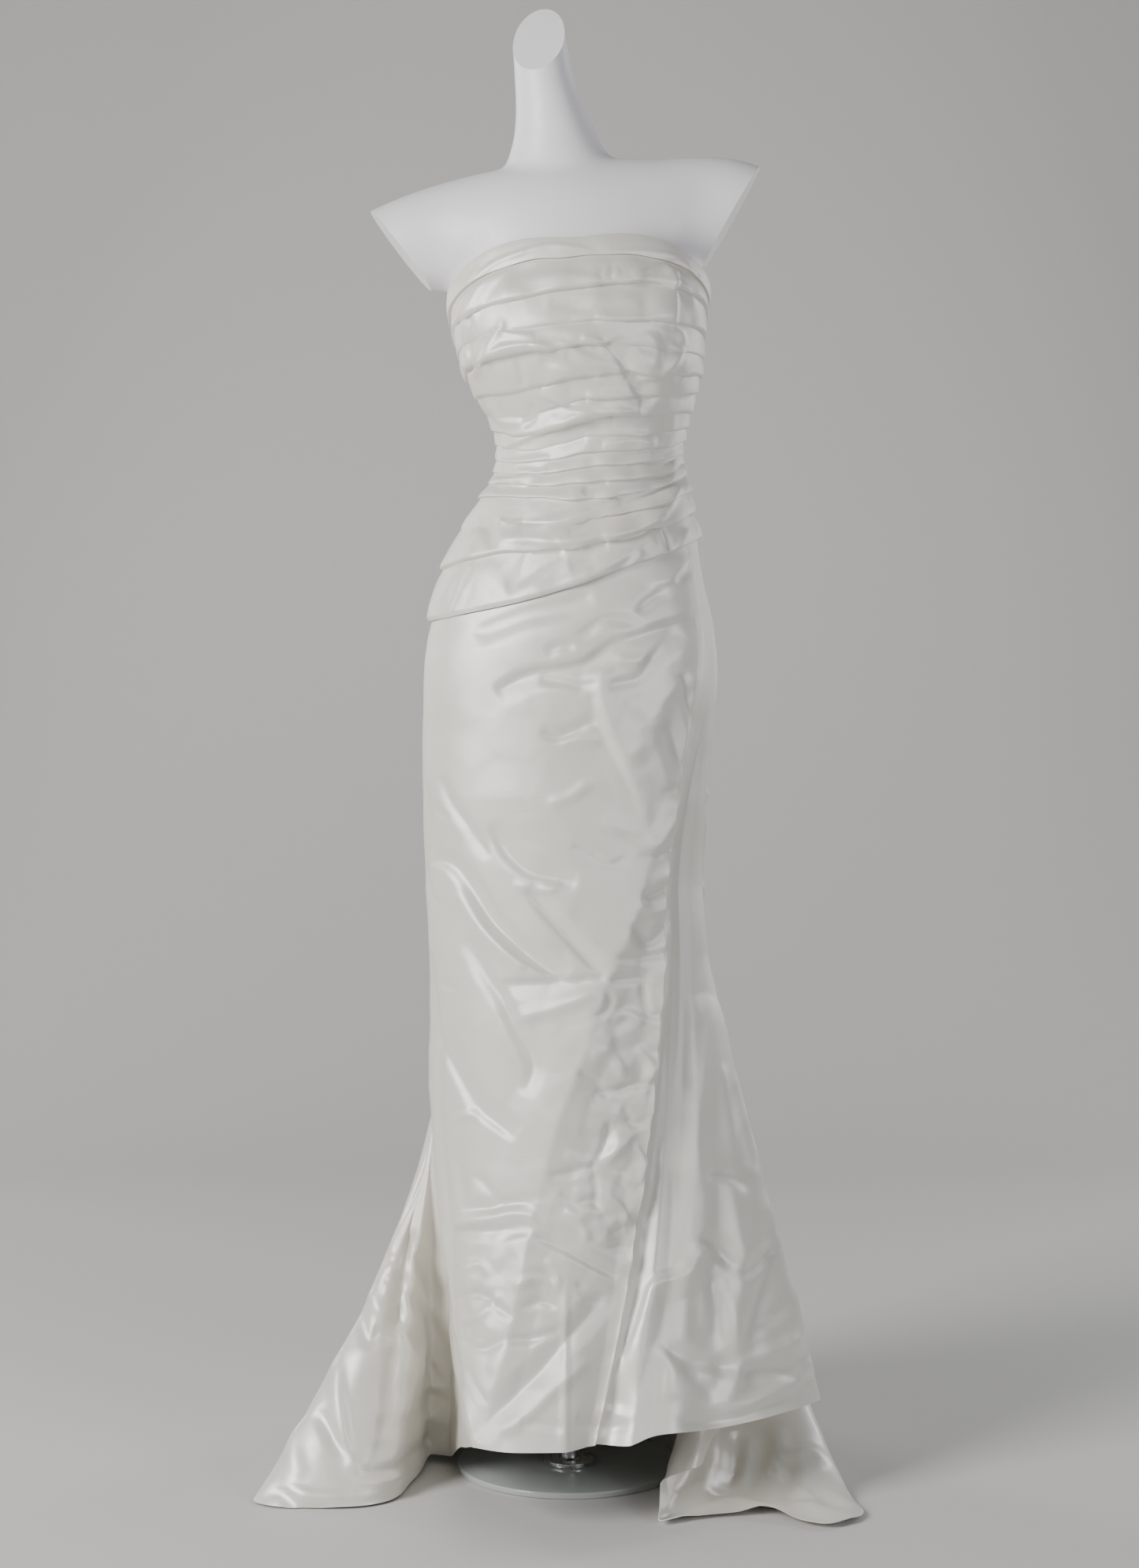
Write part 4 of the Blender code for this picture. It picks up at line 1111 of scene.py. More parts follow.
# %% Creases on the front
FRONT_CREASES = (
    # The main ridge, from the right hip to the hem
    (8.0, 42, 26,
     ((3.9, 100.4), (4.2, 96.6), (5.1, 93.9), (6.4, 89.4), (7.8, 85.3), (9.0, 81.1), (9.7, 78.1))),
    (9.5, 30, 62,
     ((9.7, 79.4), (8.5, 73.9), (6.8, 68.1), (4.4, 62.3), (1.4, 52.7), (-1.2, 45.2),
      (-3.2, 37.7), (-4.0, 34.6))),
    (8.5, 26, 46, ((-3.9, 35.6), (-5.6, 26.3), (-7.4, 17.9), (-8.5, 13.5), (-10.1, 6.9), (-10.9, 4.8))),
    (-4.0, 9, 10, ((2.6, 98.0), (3.0, 94.9), (4.7, 90.4), (6.8, 86.3), (8.0, 82.6))),
    # Grey wedges under the slanting seam
    (-6.0, 12, 22,
     ((-11.6, 104.6), (-9.4, 105.4), (-6.6, 106.6), (-2.8, 107.6), (0.6, 108.6), (2.6, 109.5))),
    (-3.5, 8, 9, ((-2.8, 102.3), (-1.5, 103.0), (0.6, 103.0))),
    (-4.0, 8, 12, ((0.6, 103.8), (2.0, 104.8), (3.7, 106.2), (6.8, 106.2), (8.5, 105.4))),
    (-7.5, 8, 24,
     ((-8.9, 97.6), (-6.6, 99.0), (-4.2, 99.9), (-0.8, 100.4), (2.0, 101.1), (3.7, 102.3), (5.9, 103.9))),
    (-4.0, 8, 8, ((-3.6, 99.2), (-0.8, 98.7), (2.0, 98.3), (3.5, 98.8))),
    (-5.0, 10, 12, ((8.0, 107.2), (9.4, 108.4), (11.4, 109.6))),
    (-6.0, 10, 22, ((5.4, 103.3), (7.8, 104.2), (10.9, 105.2), (14.0, 106.2), (15.9, 107.4))),
    (-5.0, 14, 18, ((8.8, 100.0), (10.6, 102.4), (13.3, 104.8))),
    (-3.5, 8, 10, ((4.4, 98.3), (6.1, 98.7), (7.8, 99.0), (9.6, 100.2))),
    (4.0, 10, 10, ((9.6, 110.6), (12.4, 111.4), (15.2, 114.6))),
    (-4.5, 10, 10, ((12.6, 110.8), (13.8, 112.2), (14.8, 114.0))),
    (3.0, 8, 10, ((5.6, 101.8), (7.6, 101.2), (9.4, 101.8))),
    # Bright facets at the right of the ridge
    (4.5, 20, 20, ((6.4, 89.6), (8.3, 91.4), (8.1, 93.2), (9.9, 94.5), (11.2, 96.9), (13.0, 99.3))),
    (3.5, 15, 15, ((9.5, 93.9), (10.0, 91.1), (10.9, 88.4), (11.6, 86.0))),
    (-3.0, 14, 10, ((11.8, 94.8), (12.6, 91.0), (13.4, 87.6))),
    (5.0, 18, 18, ((9.7, 78.1), (11.3, 81.1), (12.9, 84.8))),
    (-3.0, 8, 10, ((13.4, 100.0), (14.0, 96.8), (14.6, 93.2))),
    # Small wrinkles in the middle
    (-5.0, 14, 6, ((-3.4, 92.4), (-1.5, 92.0), (0.6, 92.8), (3.2, 94.2))),
    (2.5, 6, 10, ((-1.0, 91.4), (1.4, 91.8), (3.8, 91.8))),
    (3.0, 8, 12, ((-2.5, 84.2), (-0.1, 84.9), (2.6, 87.0))),
    (3.5, 10, 20, ((9.7, 78.3), (7.8, 80.1), (5.4, 81.1), (3.8, 82.0))),
    (-3.5, 6, 8, ((0.4, 78.9), (2.3, 78.1), (3.2, 77.4))),
    (-3.5, 6, 8, ((2.8, 77.8), (4.7, 76.5), (6.6, 77.4))),
    (3.0, 6, 7, ((-6.6, 74.3), (-4.2, 73.6), (-2.2, 73.6), (-1.1, 74.5))),
    # Folds that slide down from the left side
    (-5.0, 8, 10, ((-15.2, 87.4), (-13.8, 83.9), (-12.1, 81.5), (-9.7, 77.5))),
    (-6.0, 22, 10, ((-9.4, 81.4), (-7.3, 77.7), (-4.9, 75.7), (-2.2, 75.0), (0.8, 74.2))),
    (-10.5, 20, 8,
     ((-16.4, 77.4), (-14.5, 76.7), (-11.8, 73.2), (-9.7, 69.8), (-7.0, 67.1), (-4.2, 64.7), (-0.6, 62.5))),
    (4.5, 8, 18, ((-13.4, 73.6), (-11.2, 70.2), (-8.4, 66.8), (-5.2, 63.8))),
    (-7.0, 18, 9, ((-5.1, 73.8), (-3.5, 71.5), (-1.5, 69.1), (1.3, 66.0), (4.1, 62.9))),
    (-7.0, 15, 12,
     ((-12.3, 67.7), (-10.1, 63.3), (-8.0, 59.9), (-6.3, 56.1), (-4.3, 52.1), (-5.2, 48.6))),
    (-2.5, 4, 6, ((-16.9, 86.6), (-16.6, 84.2), (-16.9, 77.0), (-16.2, 72.9), (-15.0, 71.2))),
    (-2.5, 5, 5, ((-15.9, 83.7), (-14.3, 82.0))),
    # The wedge and the point where folds meet
    (-6.0, 7, 22, ((-8.1, 62.1), (-4.6, 62.2), (-0.4, 62.4), (4.4, 62.8))),
    (4.0, 16, 12, ((-7.0, 57.6), (-2.6, 58.8), (0.6, 60.0), (4.0, 62.0))),
    (-4.5, 8, 10, ((4.4, 62.6), (6.8, 62.8), (9.7, 63.0))),
    (-4.0, 8, 8, ((5.2, 65.3), (8.8, 65.4), (12.4, 66.1))),
    (-3.0, 5, 6, ((-15.9, 62.3), (-13.3, 61.5))),
    # The front's left edge, and the fold that leaves it
    (-5.0, 5, 6,
     ((-16.6, 66.4), (-15.6, 54.1), (-15.4, 43.9), (-14.3, 33.4), (-14.0, 21.9), (-12.9, 13.0),
      (-11.7, 4.2))),
    (-5.5, 26, 4, ((-15.9, 55.6), (-13.1, 50.1), (-10.9, 46.4), (-8.7, 44.6), (-6.6, 43.0))),
    (3.0, 8, 10, ((-15.0, 44.4), (-12.6, 46.0), (-10.8, 46.0))),
    (-3.0, 8, 10, ((-14.4, 42.4), (-12.9, 38.6), (-12.6, 35.0))),
    # The tuck across the left of the front
    (4.5, 8, 8, ((-13.9, 32.7), (-9.6, 33.2), (-6.4, 33.8), (-3.9, 33.6))),
    (-4.5, 14, 4, ((-13.0, 34.3), (-10.1, 34.3), (-5.6, 35.1), (-3.8, 35.0))),
    (-5.5, 4, 16, ((-14.3, 31.5), (-11.8, 31.7), (-8.3, 31.9), (-5.6, 32.4), (-3.7, 32.2))),
    (-3.0, 6, 7, ((-8.6, 30.2), (-6.8, 31.2), (-4.6, 31.6))),
    (-3.0, 7, 8, ((-11.2, 38.8), (-9.4, 36.6), (-7.8, 34.8))),
    (-6.0, 14, 6, ((-4.2, 30.9), (-0.6, 29.3), (2.4, 27.6), (5.6, 25.9))),
    # Crushed silk at the lower left
    (3.5, 6, 8, ((-13.2, 26.6), (-10.8, 27.6), (-9.2, 26.2))),
    (-4.5, 7, 8, ((-13.4, 23.2), (-10.6, 23.8), (-8.2, 22.0), (-6.6, 20.8))),
    (3.5, 7, 9, ((-13.0, 20.4), (-10.4, 21.4), (-8.0, 24.0))),
    (-4.0, 6, 9, ((-13.2, 18.2), (-10.5, 17.0), (-7.4, 18.3))),
    (-5.5, 7, 9, ((-7.2, 18.1), (-4.2, 18.4), (-1.2, 19.5))),
    (3.5, 6, 8, ((-6.4, 24.6), (-4.2, 25.8), (-2.0, 24.8))),
    (-3.5, 6, 8, ((-5.6, 22.0), (-3.4, 23.0), (-1.6, 22.2))),
    (-3.0, 6, 7, ((-12.4, 14.8), (-11.0, 12.2), (-9.6, 10.0))),
    (3.0, 8, 8, ((-13.0, 12.2), (-11.8, 9.4), (-11.4, 6.2))),
    # The long diagonal that runs down to the hem's left corner
    (-8.5, 18, 22, ((4.3, 24.0), (1.8, 20.4), (-0.4, 18.1), (-3.9, 13.9), (-8.7, 9.1), (-11.0, 5.6))),
    (4.0, 12, 12, ((-8.2, 6.4), (-5.0, 8.8), (-1.6, 12.2), (1.8, 15.6))),
    (3.0, 7, 8, ((-0.4, 26.6), (-0.5, 20.0), (-0.6, 12.0), (-0.7, 3.9))),
    (-3.0, 7, 9, ((-6.0, 7.8), (-2.6, 7.6), (-0.8, 7.0))),
    (3.5, 10, 12, ((2.8, 9.6), (6.2, 8.8), (9.4, 7.0))),
    (-3.5, 9, 12, ((0.6, 8.4), (4.0, 7.2), (8.8, 8.6))),
)
print("front creases:", len(FRONT_CREASES))

# %% [markdown]
# The strip between the main ridge and the right seam is crushed. Short creases cross it in every
# direction, and the seam itself puckers.

# %% Creases in the crushed strip
STRIP_CREASES = (
    (-5.0, 8, 8, ((9.9, 77.9), (11.6, 78.6), (13.4, 79.6))),
    (-5.0, 8, 10, ((8.3, 72.7), (9.5, 72.9), (12.3, 74.5))),
    (3.5, 8, 8, ((7.8, 71.9), (9.5, 70.8), (11.8, 71.6))),
    (-5.5, 12, 12, ((7.1, 69.3), (9.5, 67.1), (11.8, 69.8), (13.4, 72.4))),
    (4.0, 9, 9, ((12.2, 71.4), (12.4, 69.0), (12.9, 66.6))),
    (-4.5, 6, 9, ((8.8, 62.5), (9.2, 59.9), (9.5, 58.5), (11.8, 58.4))),
    (4.0, 8, 8, ((11.6, 65.6), (11.9, 61.6), (11.1, 59.0))),
    (-4.0, 6, 9, ((4.0, 61.8), (4.8, 60.2), (4.0, 58.5), (2.6, 58.0))),
    (3.5, 9, 7, ((5.2, 57.4), (6.8, 58.4), (8.8, 57.2))),
    (-4.0, 7, 8, ((1.0, 51.6), (4.5, 48.4), (5.6, 46.6))),
    (-4.5, 7, 9, ((3.0, 48.6), (5.4, 49.0), (7.6, 49.7), (10.2, 50.1))),
    (4.5, 9, 9, ((8.2, 54.2), (9.6, 51.4), (8.8, 48.6))),
    (3.5, 8, 10, ((2.6, 54.2), (5.0, 53.2), (6.6, 50.8))),
    (-6.0, 12, 7, ((4.8, 45.2), (4.0, 41.7), (2.8, 39.5))),
    (-4.5, 7, 8, ((-2.3, 38.5), (0.4, 38.9), (2.9, 39.9))),
    (4.0, 6, 8, ((-0.4, 41.4), (1.0, 40.4), (2.7, 39.8))),
    (4.0, 8, 12, ((2.7, 39.8), (5.2, 41.6), (7.8, 44.1))),
    (-4.0, 7, 9, ((2.7, 39.8), (3.2, 36.9), (3.0, 34.3))),
    (3.5, 8, 8, ((2.9, 39.6), (5.4, 38.6), (7.8, 37.2))),
    (-4.0, 8, 8, ((6.4, 47.0), (7.6, 45.0), (9.2, 45.2))),
    (4.0, 8, 8, ((7.6, 42.6), (8.6, 40.0), (8.0, 37.4))),
    (-4.0, 6, 8, ((-1.2, 36.4), (0.8, 35.0), (2.6, 35.6), (4.0, 34.2))),
    (3.5, 7, 7, ((-0.6, 34.2), (1.2, 32.8), (2.2, 30.8))),
    (-4.0, 8, 8, ((3.6, 33.6), (5.0, 31.8), (7.2, 32.6))),
    (3.5, 7, 9, ((4.4, 36.0), (6.2, 34.4), (6.6, 31.2))),
    (-3.5, 7, 8, ((2.4, 30.8), (4.4, 29.6), (6.8, 29.8))),
    (3.5, 8, 8, ((-3.0, 28.0), (-1.4, 26.4), (-1.6, 24.0))),
    (-3.5, 8, 9, ((0.8, 25.2), (2.2, 23.4), (4.2, 22.8))),
)
print("creases in the strip:", len(STRIP_CREASES))

# %% [markdown]
# The right side swings out into a flare whose cloth is caught up and tucked under, so its folds
# gather to two points near the hem. The left side falls in long narrow folds.

# %% Creases on the flares
RIGHT_FLARE_CREASES = (
    # The edge that stands beside the seam's hollow
    (9.0, 44, 24, ((16.8, 60.4), (15.8, 50.6), (15.3, 39.5), (16.0, 35.1), (16.0, 29.0))),
    (9.0, 30, 10,
     ((16.0, 30.4), (13.8, 26.3), (10.2, 25.0), (9.6, 23.2), (8.3, 19.2), (5.4, 13.1), (3.9, 10.9))),
    # Sharp folds on the flare
    (-6.0, 6, 14, ((16.4, 38.7), (18.4, 38.9), (20.4, 38.1), (22.6, 37.7))),
    (4.0, 5, 8, ((17.0, 38.1), (18.8, 38.0), (20.8, 37.2))),
    (-8.0, 16, 9, ((16.0, 31.0), (18.4, 28.8), (21.1, 25.9))),
    (-8.0, 16, 9, ((21.1, 25.9), (23.2, 27.4), (25.6, 29.7))),
    (4.0, 8, 8, ((16.3, 29.6), (18.4, 27.4), (20.9, 26.1))),
    (6.5, 22, 18, ((19.3, 38.6), (20.2, 32.0), (20.8, 26.3), (20.2, 21.9), (20.5, 14.2))),
    (5.5, 10, 14, ((16.0, 29.4), (16.8, 24.0), (17.3, 19.0))),
    (-6.0, 10, 14, ((16.2, 29.0), (17.6, 23.4), (18.8, 17.3))),
    (5.0, 10, 9, ((17.6, 27.0), (19.0, 22.6), (19.6, 17.6))),
    (-5.0, 16, 12, ((24.0, 33.6), (24.6, 28.6), (23.4, 23.0), (21.6, 17.6))),
    # The point near the hem where the flare is caught
    (7.0, 16, 18, ((20.4, 14.4), (24.4, 16.4), (28.5, 18.2))),
    (-7.0, 12, 12, ((20.4, 14.4), (24.8, 14.6), (27.6, 13.8), (30.0, 12.4))),
    (7.0, 18, 9, ((20.6, 14.8), (19.4, 12.4), (18.4, 9.6))),
    (-6.0, 10, 12, ((20.2, 14.6), (16.4, 15.0), (12.7, 17.2))),
    (-6.0, 12, 8, ((12.0, 17.7), (14.2, 14.8), (17.9, 10.6))),
    (5.0, 9, 12, ((11.6, 17.6), (12.4, 14.6), (12.4, 10.6))),
    (5.5, 9, 14, ((19.0, 8.9), (23.0, 10.8), (27.4, 13.1), (30.1, 15.9))),
    (-5.0, 8, 10, ((13.4, 7.8), (18.0, 8.0), (22.6, 9.4), (27.6, 11.0))),
    (4.0, 10, 14, ((25.4, 21.4), (26.6, 19.4), (27.6, 16.4))),
    (-3.5, 8, 9, ((22.8, 20.0), (24.6, 20.8), (26.6, 22.6))),
    (3.5, 14, 14, ((18.4, 52.0), (19.4, 46.0), (20.4, 40.4))),
    (-3.5, 12, 14, ((20.0, 49.4), (21.6, 43.4), (22.6, 39.0))),
)
PUDDLE_CREASES = (
    # Upright folds under the flare
    (4.0, 8, 15, ((11.5, 6.5), (11.5, 2.4), (12.2, -1.7))),
    (9.0, 7, 26, ((18.1, 7.4), (18.0, 3.0), (17.1, 0.2), (16.6, -2.7))),
    (-6.0, 10, 10, ((15.8, 4.6), (14.5, 0.9), (13.1, -0.8))),
    (-9.0, 10, 12, ((20.5, 6.6), (20.6, 2.5), (19.6, -0.4))),
    (5.0, 14, 8, ((22.4, 6.0), (21.5, 2.6), (20.8, -1.0))),
    (10.0, 7, 22, ((26.0, 7.4), (26.1, 2.8), (25.3, 0.9), (23.6, -1.2))),
    (-10.0, 12, 12, ((26.4, 3.6), (27.4, 0.4), (25.9, -2.1))),
    (6.0, 10, 14, ((26.3, 3.6), (29.9, 4.2), (31.6, 2.4))),
    # The roll that lies on the floor
    (11.0, 11, 12,
     ((17.6, -2.7), (20.8, -2.5), (23.6, -3.4), (26.5, -3.6), (28.4, -3.1), (31.6, -3.9), (35.4, -4.2))),
    (-8.0, 8, 6, ((17.0, -1.1), (19.2, -1.0), (21.1, -1.2), (23.2, -2.0), (24.9, -2.5), (26.7, -2.2))),
    (8.0, 9, 10, ((27.4, 0.4), (28.6, -1.2), (31.0, -2.9))),
    (6.0, 8, 11, ((30.6, -1.0), (33.1, -1.7), (35.4, -3.4))),
    (-7.0, 8, 8, ((11.0, -4.0), (13.0, -3.3), (15.1, -3.0), (16.8, -3.2))),
    (6.0, 7, 7, ((11.2, -4.7), (13.2, -4.7), (15.0, -4.0))),
)
LEFT_FLARE_CREASES = (
    # Long folds that fall from the left side
    (-9.0, 14, 20,
     ((-17.1, 48.6), (-18.4, 40.4), (-19.6, 30.1), (-20.7, 21.6), (-21.6, 12.7), (-21.9, 6.0))),
    (-7.0, 12, 15, ((-19.5, 31.4), (-17.8, 27.3), (-16.1, 23.7), (-15.0, 21.5))),
    (-6.0, 12, 12, ((-20.2, 26.1), (-18.9, 23.4), (-17.1, 20.5), (-15.0, 17.3), (-13.0, 15.3))),
    (-6.0, 8, 10, ((-20.7, 22.6), (-19.6, 19.4), (-18.4, 17.7))),
    (-5.0, 8, 8, ((-18.0, 16.4), (-16.1, 13.4), (-13.2, 12.6))),
    (7.0, 15, 12, ((-20.7, 16.0), (-21.0, 10.9), (-21.2, 7.3), (-21.1, 2.0))),
    (6.0, 15, 15, ((-18.9, 17.2), (-19.3, 12.7), (-20.2, 8.4))),
    (-5.0, 8, 8, ((-22.8, 8.8), (-23.0, 5.6), (-22.8, 2.2))),
    (-4.0, 6, 7, ((-24.0, 5.4), (-23.6, 3.8), (-25.0, 1.9))),
    (7.0, 10, 15, ((-28.2, 15.6), (-28.3, 11.6), (-28.0, 9.0), (-26.4, 2.7), (-24.8, 1.5))),
    (-7.0, 10, 12, ((-30.9, 9.4), (-29.2, 6.3), (-26.9, 3.0))),
    (-5.0, 12, 12, ((-26.0, 21.6), (-24.3, 18.0), (-23.2, 19.0), (-21.8, 17.8))),
    (5.0, 15, 20, ((-33.3, 8.8), (-33.9, 4.5), (-33.3, 0.6))),
    (-4.0, 8, 9, ((-22.8, 28.4), (-20.5, 28.0))),
    (-4.0, 7, 9, ((-22.8, 25.8), (-20.2, 25.4))),
    (4.0, 12, 12, ((-24.4, 24.4), (-23.2, 21.8), (-20.8, 21.2))),
    # Soft rolls by the floor
    (6.0, 6, 8, ((-18.0, 12.2), (-15.7, 12.4), (-12.3, 12.0))),
    (-6.0, 6, 7, ((-17.3, 11.3), (-15.0, 10.5), (-12.3, 10.9))),
    (6.0, 8, 8, ((-17.7, 7.9), (-15.9, 9.7), (-12.3, 9.8))),
    (-6.0, 6, 8, ((-17.7, 5.7), (-15.7, 7.3), (-14.3, 7.4), (-12.0, 8.2))),
    (-8.0, 10, 12, ((-25.2, 1.6), (-22.1, 2.0), (-19.6, 3.4), (-16.9, 6.1))),
    (6.0, 8, 8, ((-25.9, 0.5), (-22.1, 0.6), (-19.3, 1.4), (-17.3, 4.3))),
    (-6.0, 8, 8,
     ((-38.5, -1.6), (-35.3, -0.9), (-34.2, -2.3), (-28.9, -2.6), (-25.0, -2.3), (-20.7, -1.1))),
    (5.0, 8, 8, ((-35.5, 0.3), (-32.4, -1.2), (-28.0, -1.6))),
)
print("flare creases:", len(RIGHT_FLARE_CREASES) + len(PUDDLE_CREASES) + len(LEFT_FLARE_CREASES))

# %% [markdown]
# The back and the sides aren't seen, so they get folds of the same family: long shallow pulls from
# the seat into the train, and cross-folds where the train's weight rests on the floor.

# %% Creases behind
BACK_CREASES = (
    (4.0, 16, 26, ((-13.0, 100.0), (-8.0, 92.0), (-5.0, 80.0), (-6.0, 62.0))),
    (3.4, 22, 14, ((12.4, 104.0), (8.4, 94.0), (7.0, 82.0), (9.0, 66.0))),
    (3.0, 10, 18, ((-2.6, 103.0), (-6.4, 98.0), (-12.8, 94.6))),
    (2.8, 12, 16, ((2.4, 101.4), (7.0, 97.0), (13.2, 95.8))),
    (3.0, 12, 12, ((-14.0, 82.0), (-9.0, 77.0), (-2.8, 74.6))),
    (2.8, 10, 14, ((14.4, 78.4), (9.4, 74.4), (3.0, 75.4))),
    (4.2, 20, 24, ((-4.0, 66.0), (-7.0, 46.0), (-13.0, 24.0), (-17.0, 10.0))),
    (4.4, 24, 20, ((5.0, 68.0), (8.6, 46.0), (13.6, 26.0), (17.6, 11.0))),
    (3.6, 18, 22, ((-11.0, 62.0), (-16.4, 42.0), (-23.6, 22.0), (-29.0, 9.0))),
    (3.6, 18, 18, ((1.8, 60.0), (2.6, 40.0), (5.0, 20.0), (6.6, 8.0))),
    (3.2, 12, 14, ((-2.4, 44.0), (-4.4, 28.0), (-7.6, 12.0))),
    (3.0, 9, 12, ((-20.0, 30.0), (-14.0, 26.6), (-9.4, 27.8))),
    (2.6, 9, 12, ((9.6, 33.0), (15.0, 30.0), (19.4, 31.6))),
    (2.6, 8, 10, ((-27.0, 14.0), (-21.0, 12.6), (-15.0, 14.4))),
    (2.6, 9, 9, ((10.4, 16.6), (15.6, 14.4), (21.0, 15.8))),
)
SIDE_CREASES = (
    (5.8, 14, 18, ((-3.0, 98.0), (0.6, 84.0), (3.4, 68.0))),
    (5.4, 12, 16, ((6.4, 96.0), (5.0, 82.0), (8.6, 66.0), (15.6, 46.0))),
    (6.1, 16, 16, ((4.0, 60.0), (12.0, 42.0), (22.0, 24.0), (34.0, 12.0))),
    (5.8, 14, 14, ((9.6, 58.0), (20.0, 36.0), (33.0, 19.0), (45.0, 9.0))),
    (4.7, 9, 12, ((-6.0, 88.0), (0.0, 85.4), (6.4, 86.6))),
    (4.3, 9, 10, ((1.0, 74.0), (6.0, 71.0), (11.6, 72.0))),
    (4.7, 9, 11, ((12.0, 34.0), (18.4, 29.4), (26.0, 30.4))),
    (4.3, 8, 10, ((26.0, 16.0), (32.0, 13.0), (39.0, 14.2))),
)


def between(values, low, high, feather):
    """1 for values between two limits, falling softly to 0 outside them."""
    rise = np.clip((values - low) / feather + 0.5, 0, 1)
    drop = np.clip((high - values) / feather + 0.5, 0, 1)
    return np.minimum(rise, drop)


# %% [markdown]
# Each table only lifts its own stretch of the skirt, so a crease on the outside doesn't print
# through onto the layers tucked behind it.

# %% Lift the skirt
skirt_normals = surface_normals(skirt, closed=True)
front_chart = seen_from_front(skirt)
back_chart = seen_square_on(skirt, 0)
side_chart = seen_square_on(skirt, 1)
folds = np.tile(fold_at, (len(skirt), 1))
faces_front = np.clip(-skirt_normals[..., 1] * 3, 0, 1)
faces_back = np.clip(skirt_normals[..., 1] * 2 + 0.2, 0, 1)
faces_right = np.clip(skirt_normals[..., 0] * 1.6, 0, 1) * between(folds, 11.5, 24, 1)
faces_left = np.clip(-skirt_normals[..., 0] * 1.6, 0, 1) * between(folds, 24, 29, 1)
on_front = between(folds, 1.6, 6.6, 0.8)
on_right_flare = between(folds, 6.2, 11.6, 0.6)
on_puddle = between(folds, 13.4, 20.6, 0.8)
on_left_flare = between(folds, 27.6, 33.4, 0.8)
on_back = between(folds, 20.6, 28.6, 1.2)

skirt_lift = add_creases(front_chart, FRONT_CREASES + STRIP_CREASES, on_front * faces_front)
skirt_lift += add_creases(front_chart, RIGHT_FLARE_CREASES, on_right_flare * faces_front)
skirt_lift += add_creases(front_chart, PUDDLE_CREASES, on_puddle)
skirt_lift += add_creases(front_chart, LEFT_FLARE_CREASES, on_left_flare * faces_front)
skirt_lift += add_creases(back_chart, BACK_CREASES, on_back * faces_back)
skirt_lift += add_creases(side_chart, SIDE_CREASES, np.maximum(faces_right, faces_left))
print("skirt creases lift by up to", round(float(skirt_lift.max()) * 1000, 1), "mm")

# %% The skirt's crumple
crushed = 0.16 + 0.9 * spot(front_chart, 7, 50, 6, 15) + 0.9 * spot(front_chart, 3, 34, 6, 8)
crushed += 0.7 * spot(front_chart, -9, 24, 6, 9) + 0.5 * spot(front_chart, 9, 100, 6, 6)
crushed += 0.5 * spot(front_chart, 19, 16, 10, 8) + 0.5 * spot(front_chart, -18, 14, 7, 9)
crushed = np.where(skirt_normals[..., 1] > 0.3, 0.55, crushed)
smooth_valley = spot(front_chart, 12.5, 42, 3.4, 34) * between(folds, 6.0, 8.4, 0.6)
crushed *= 1 - 0.9 * smooth_valley
skirt_lift += crumple(skirt, 0.10, 0.045, 21) * (0.6 + 0.4 * crushed) * (1 - smooth_valley)
skirt_lift += crumple(skirt, 0.045, 0.11, 22) * crushed
skirt_lift += crumple(skirt, 0.022, 0.10, 23) * np.clip(crushed, 0, 1) ** 2

# %% [markdown]
# The right side seam draws the front in, so the front stands over the hollow beside it and the
# stitches pucker its edge.

# %% The puckered seam
SEAM_STEP = 0.006
SEAM_HOLLOW = 0.009
SEAM_PUCKER = 0.0035
HOLLOW_TOP_Z, HOLLOW_FADE = 1.04, 0.25
STEP_BEFORE, STEP_AFTER = 0.30, 0.22
below_hip = np.clip((HOLLOW_TOP_Z - skirt[..., 2]) / HOLLOW_FADE, 0, 1)
before_seam = np.clip(1 - (RIGHT_SEAM - folds) / STEP_BEFORE, 0, 1) * (folds <= RIGHT_SEAM)
after_seam = between(folds, RIGHT_SEAM + 0.1, 8.0, 0.5) * (folds > RIGHT_SEAM)
step_down = np.clip(1 - (folds - RIGHT_SEAM) / STEP_AFTER, 0, 1) * (folds > RIGHT_SEAM)
along_seam = np.linspace(0, 1, len(skirt))[:, None]
pucker = uneven(along_seam, 31, (122, 173, 231)) * (0.6 + 0.8 * uneven(along_seam, 32, (18, 29, 41)))
seam_edge = before_seam + step_down
skirt_lift += below_hip * (SEAM_STEP * seam_edge - SEAM_HOLLOW * after_seam * (1 - step_down))
skirt_lift += SEAM_PUCKER * pucker * seam_edge * np.clip(below_hip + 0.3, 0, 1)
skirt_lift = softened(skirt_lift, 1)

# %% [markdown]
# At the slanting seam the skirt is held by the bodice, so its creases die out in the last few
# millimetres, and below it the front stands a little full. Troughs go no deeper than the room that
# is left over the form, and on the floor the cloth can only rise.

# %% Settle the skirt
HIP_FULLNESS = 0.0045
FULL_BY_ROW, HELD_ROWS = 14, 5
rows_down = np.arange(len(skirt))[:, None]
fullness = HIP_FULLNESS * faces_front * on_front * np.clip(rows_down / FULL_BY_ROW, 0, 1)
skirt_lift = (skirt_lift + fullness) * np.clip(rows_down / HELD_ROWS, 0.05, 1)
form_room = 0.002 + np.interp(-skirt[..., 2], (-1.06, -0.95, -0.83, -0.70), (0.0, 0.007, 0.012, 0.04))
pressed = -form_room * np.tanh(np.maximum(-skirt_lift, 0) / form_room)
skirt_lift = np.where(skirt_lift < 0, pressed, skirt_lift)
skirt_points = skirt + skirt_normals * skirt_lift[..., None]
FLOOR_CLOTH = 0.0002
skirt_points[..., 2] = np.maximum(skirt_points[..., 2], FLOOR_CLOTH + FINE_CLOTH)
skirt_names = ("skirt_front", "skirt_back_right", "skirt_back_left")
for node, first, last in zip(skirt_names, skirt_seams[:-1], skirt_seams[1:]):
    cloth[node] = cut_panel(node + "_satin", skirt_points, skirt_lift, first, last, satin, bottom=False)
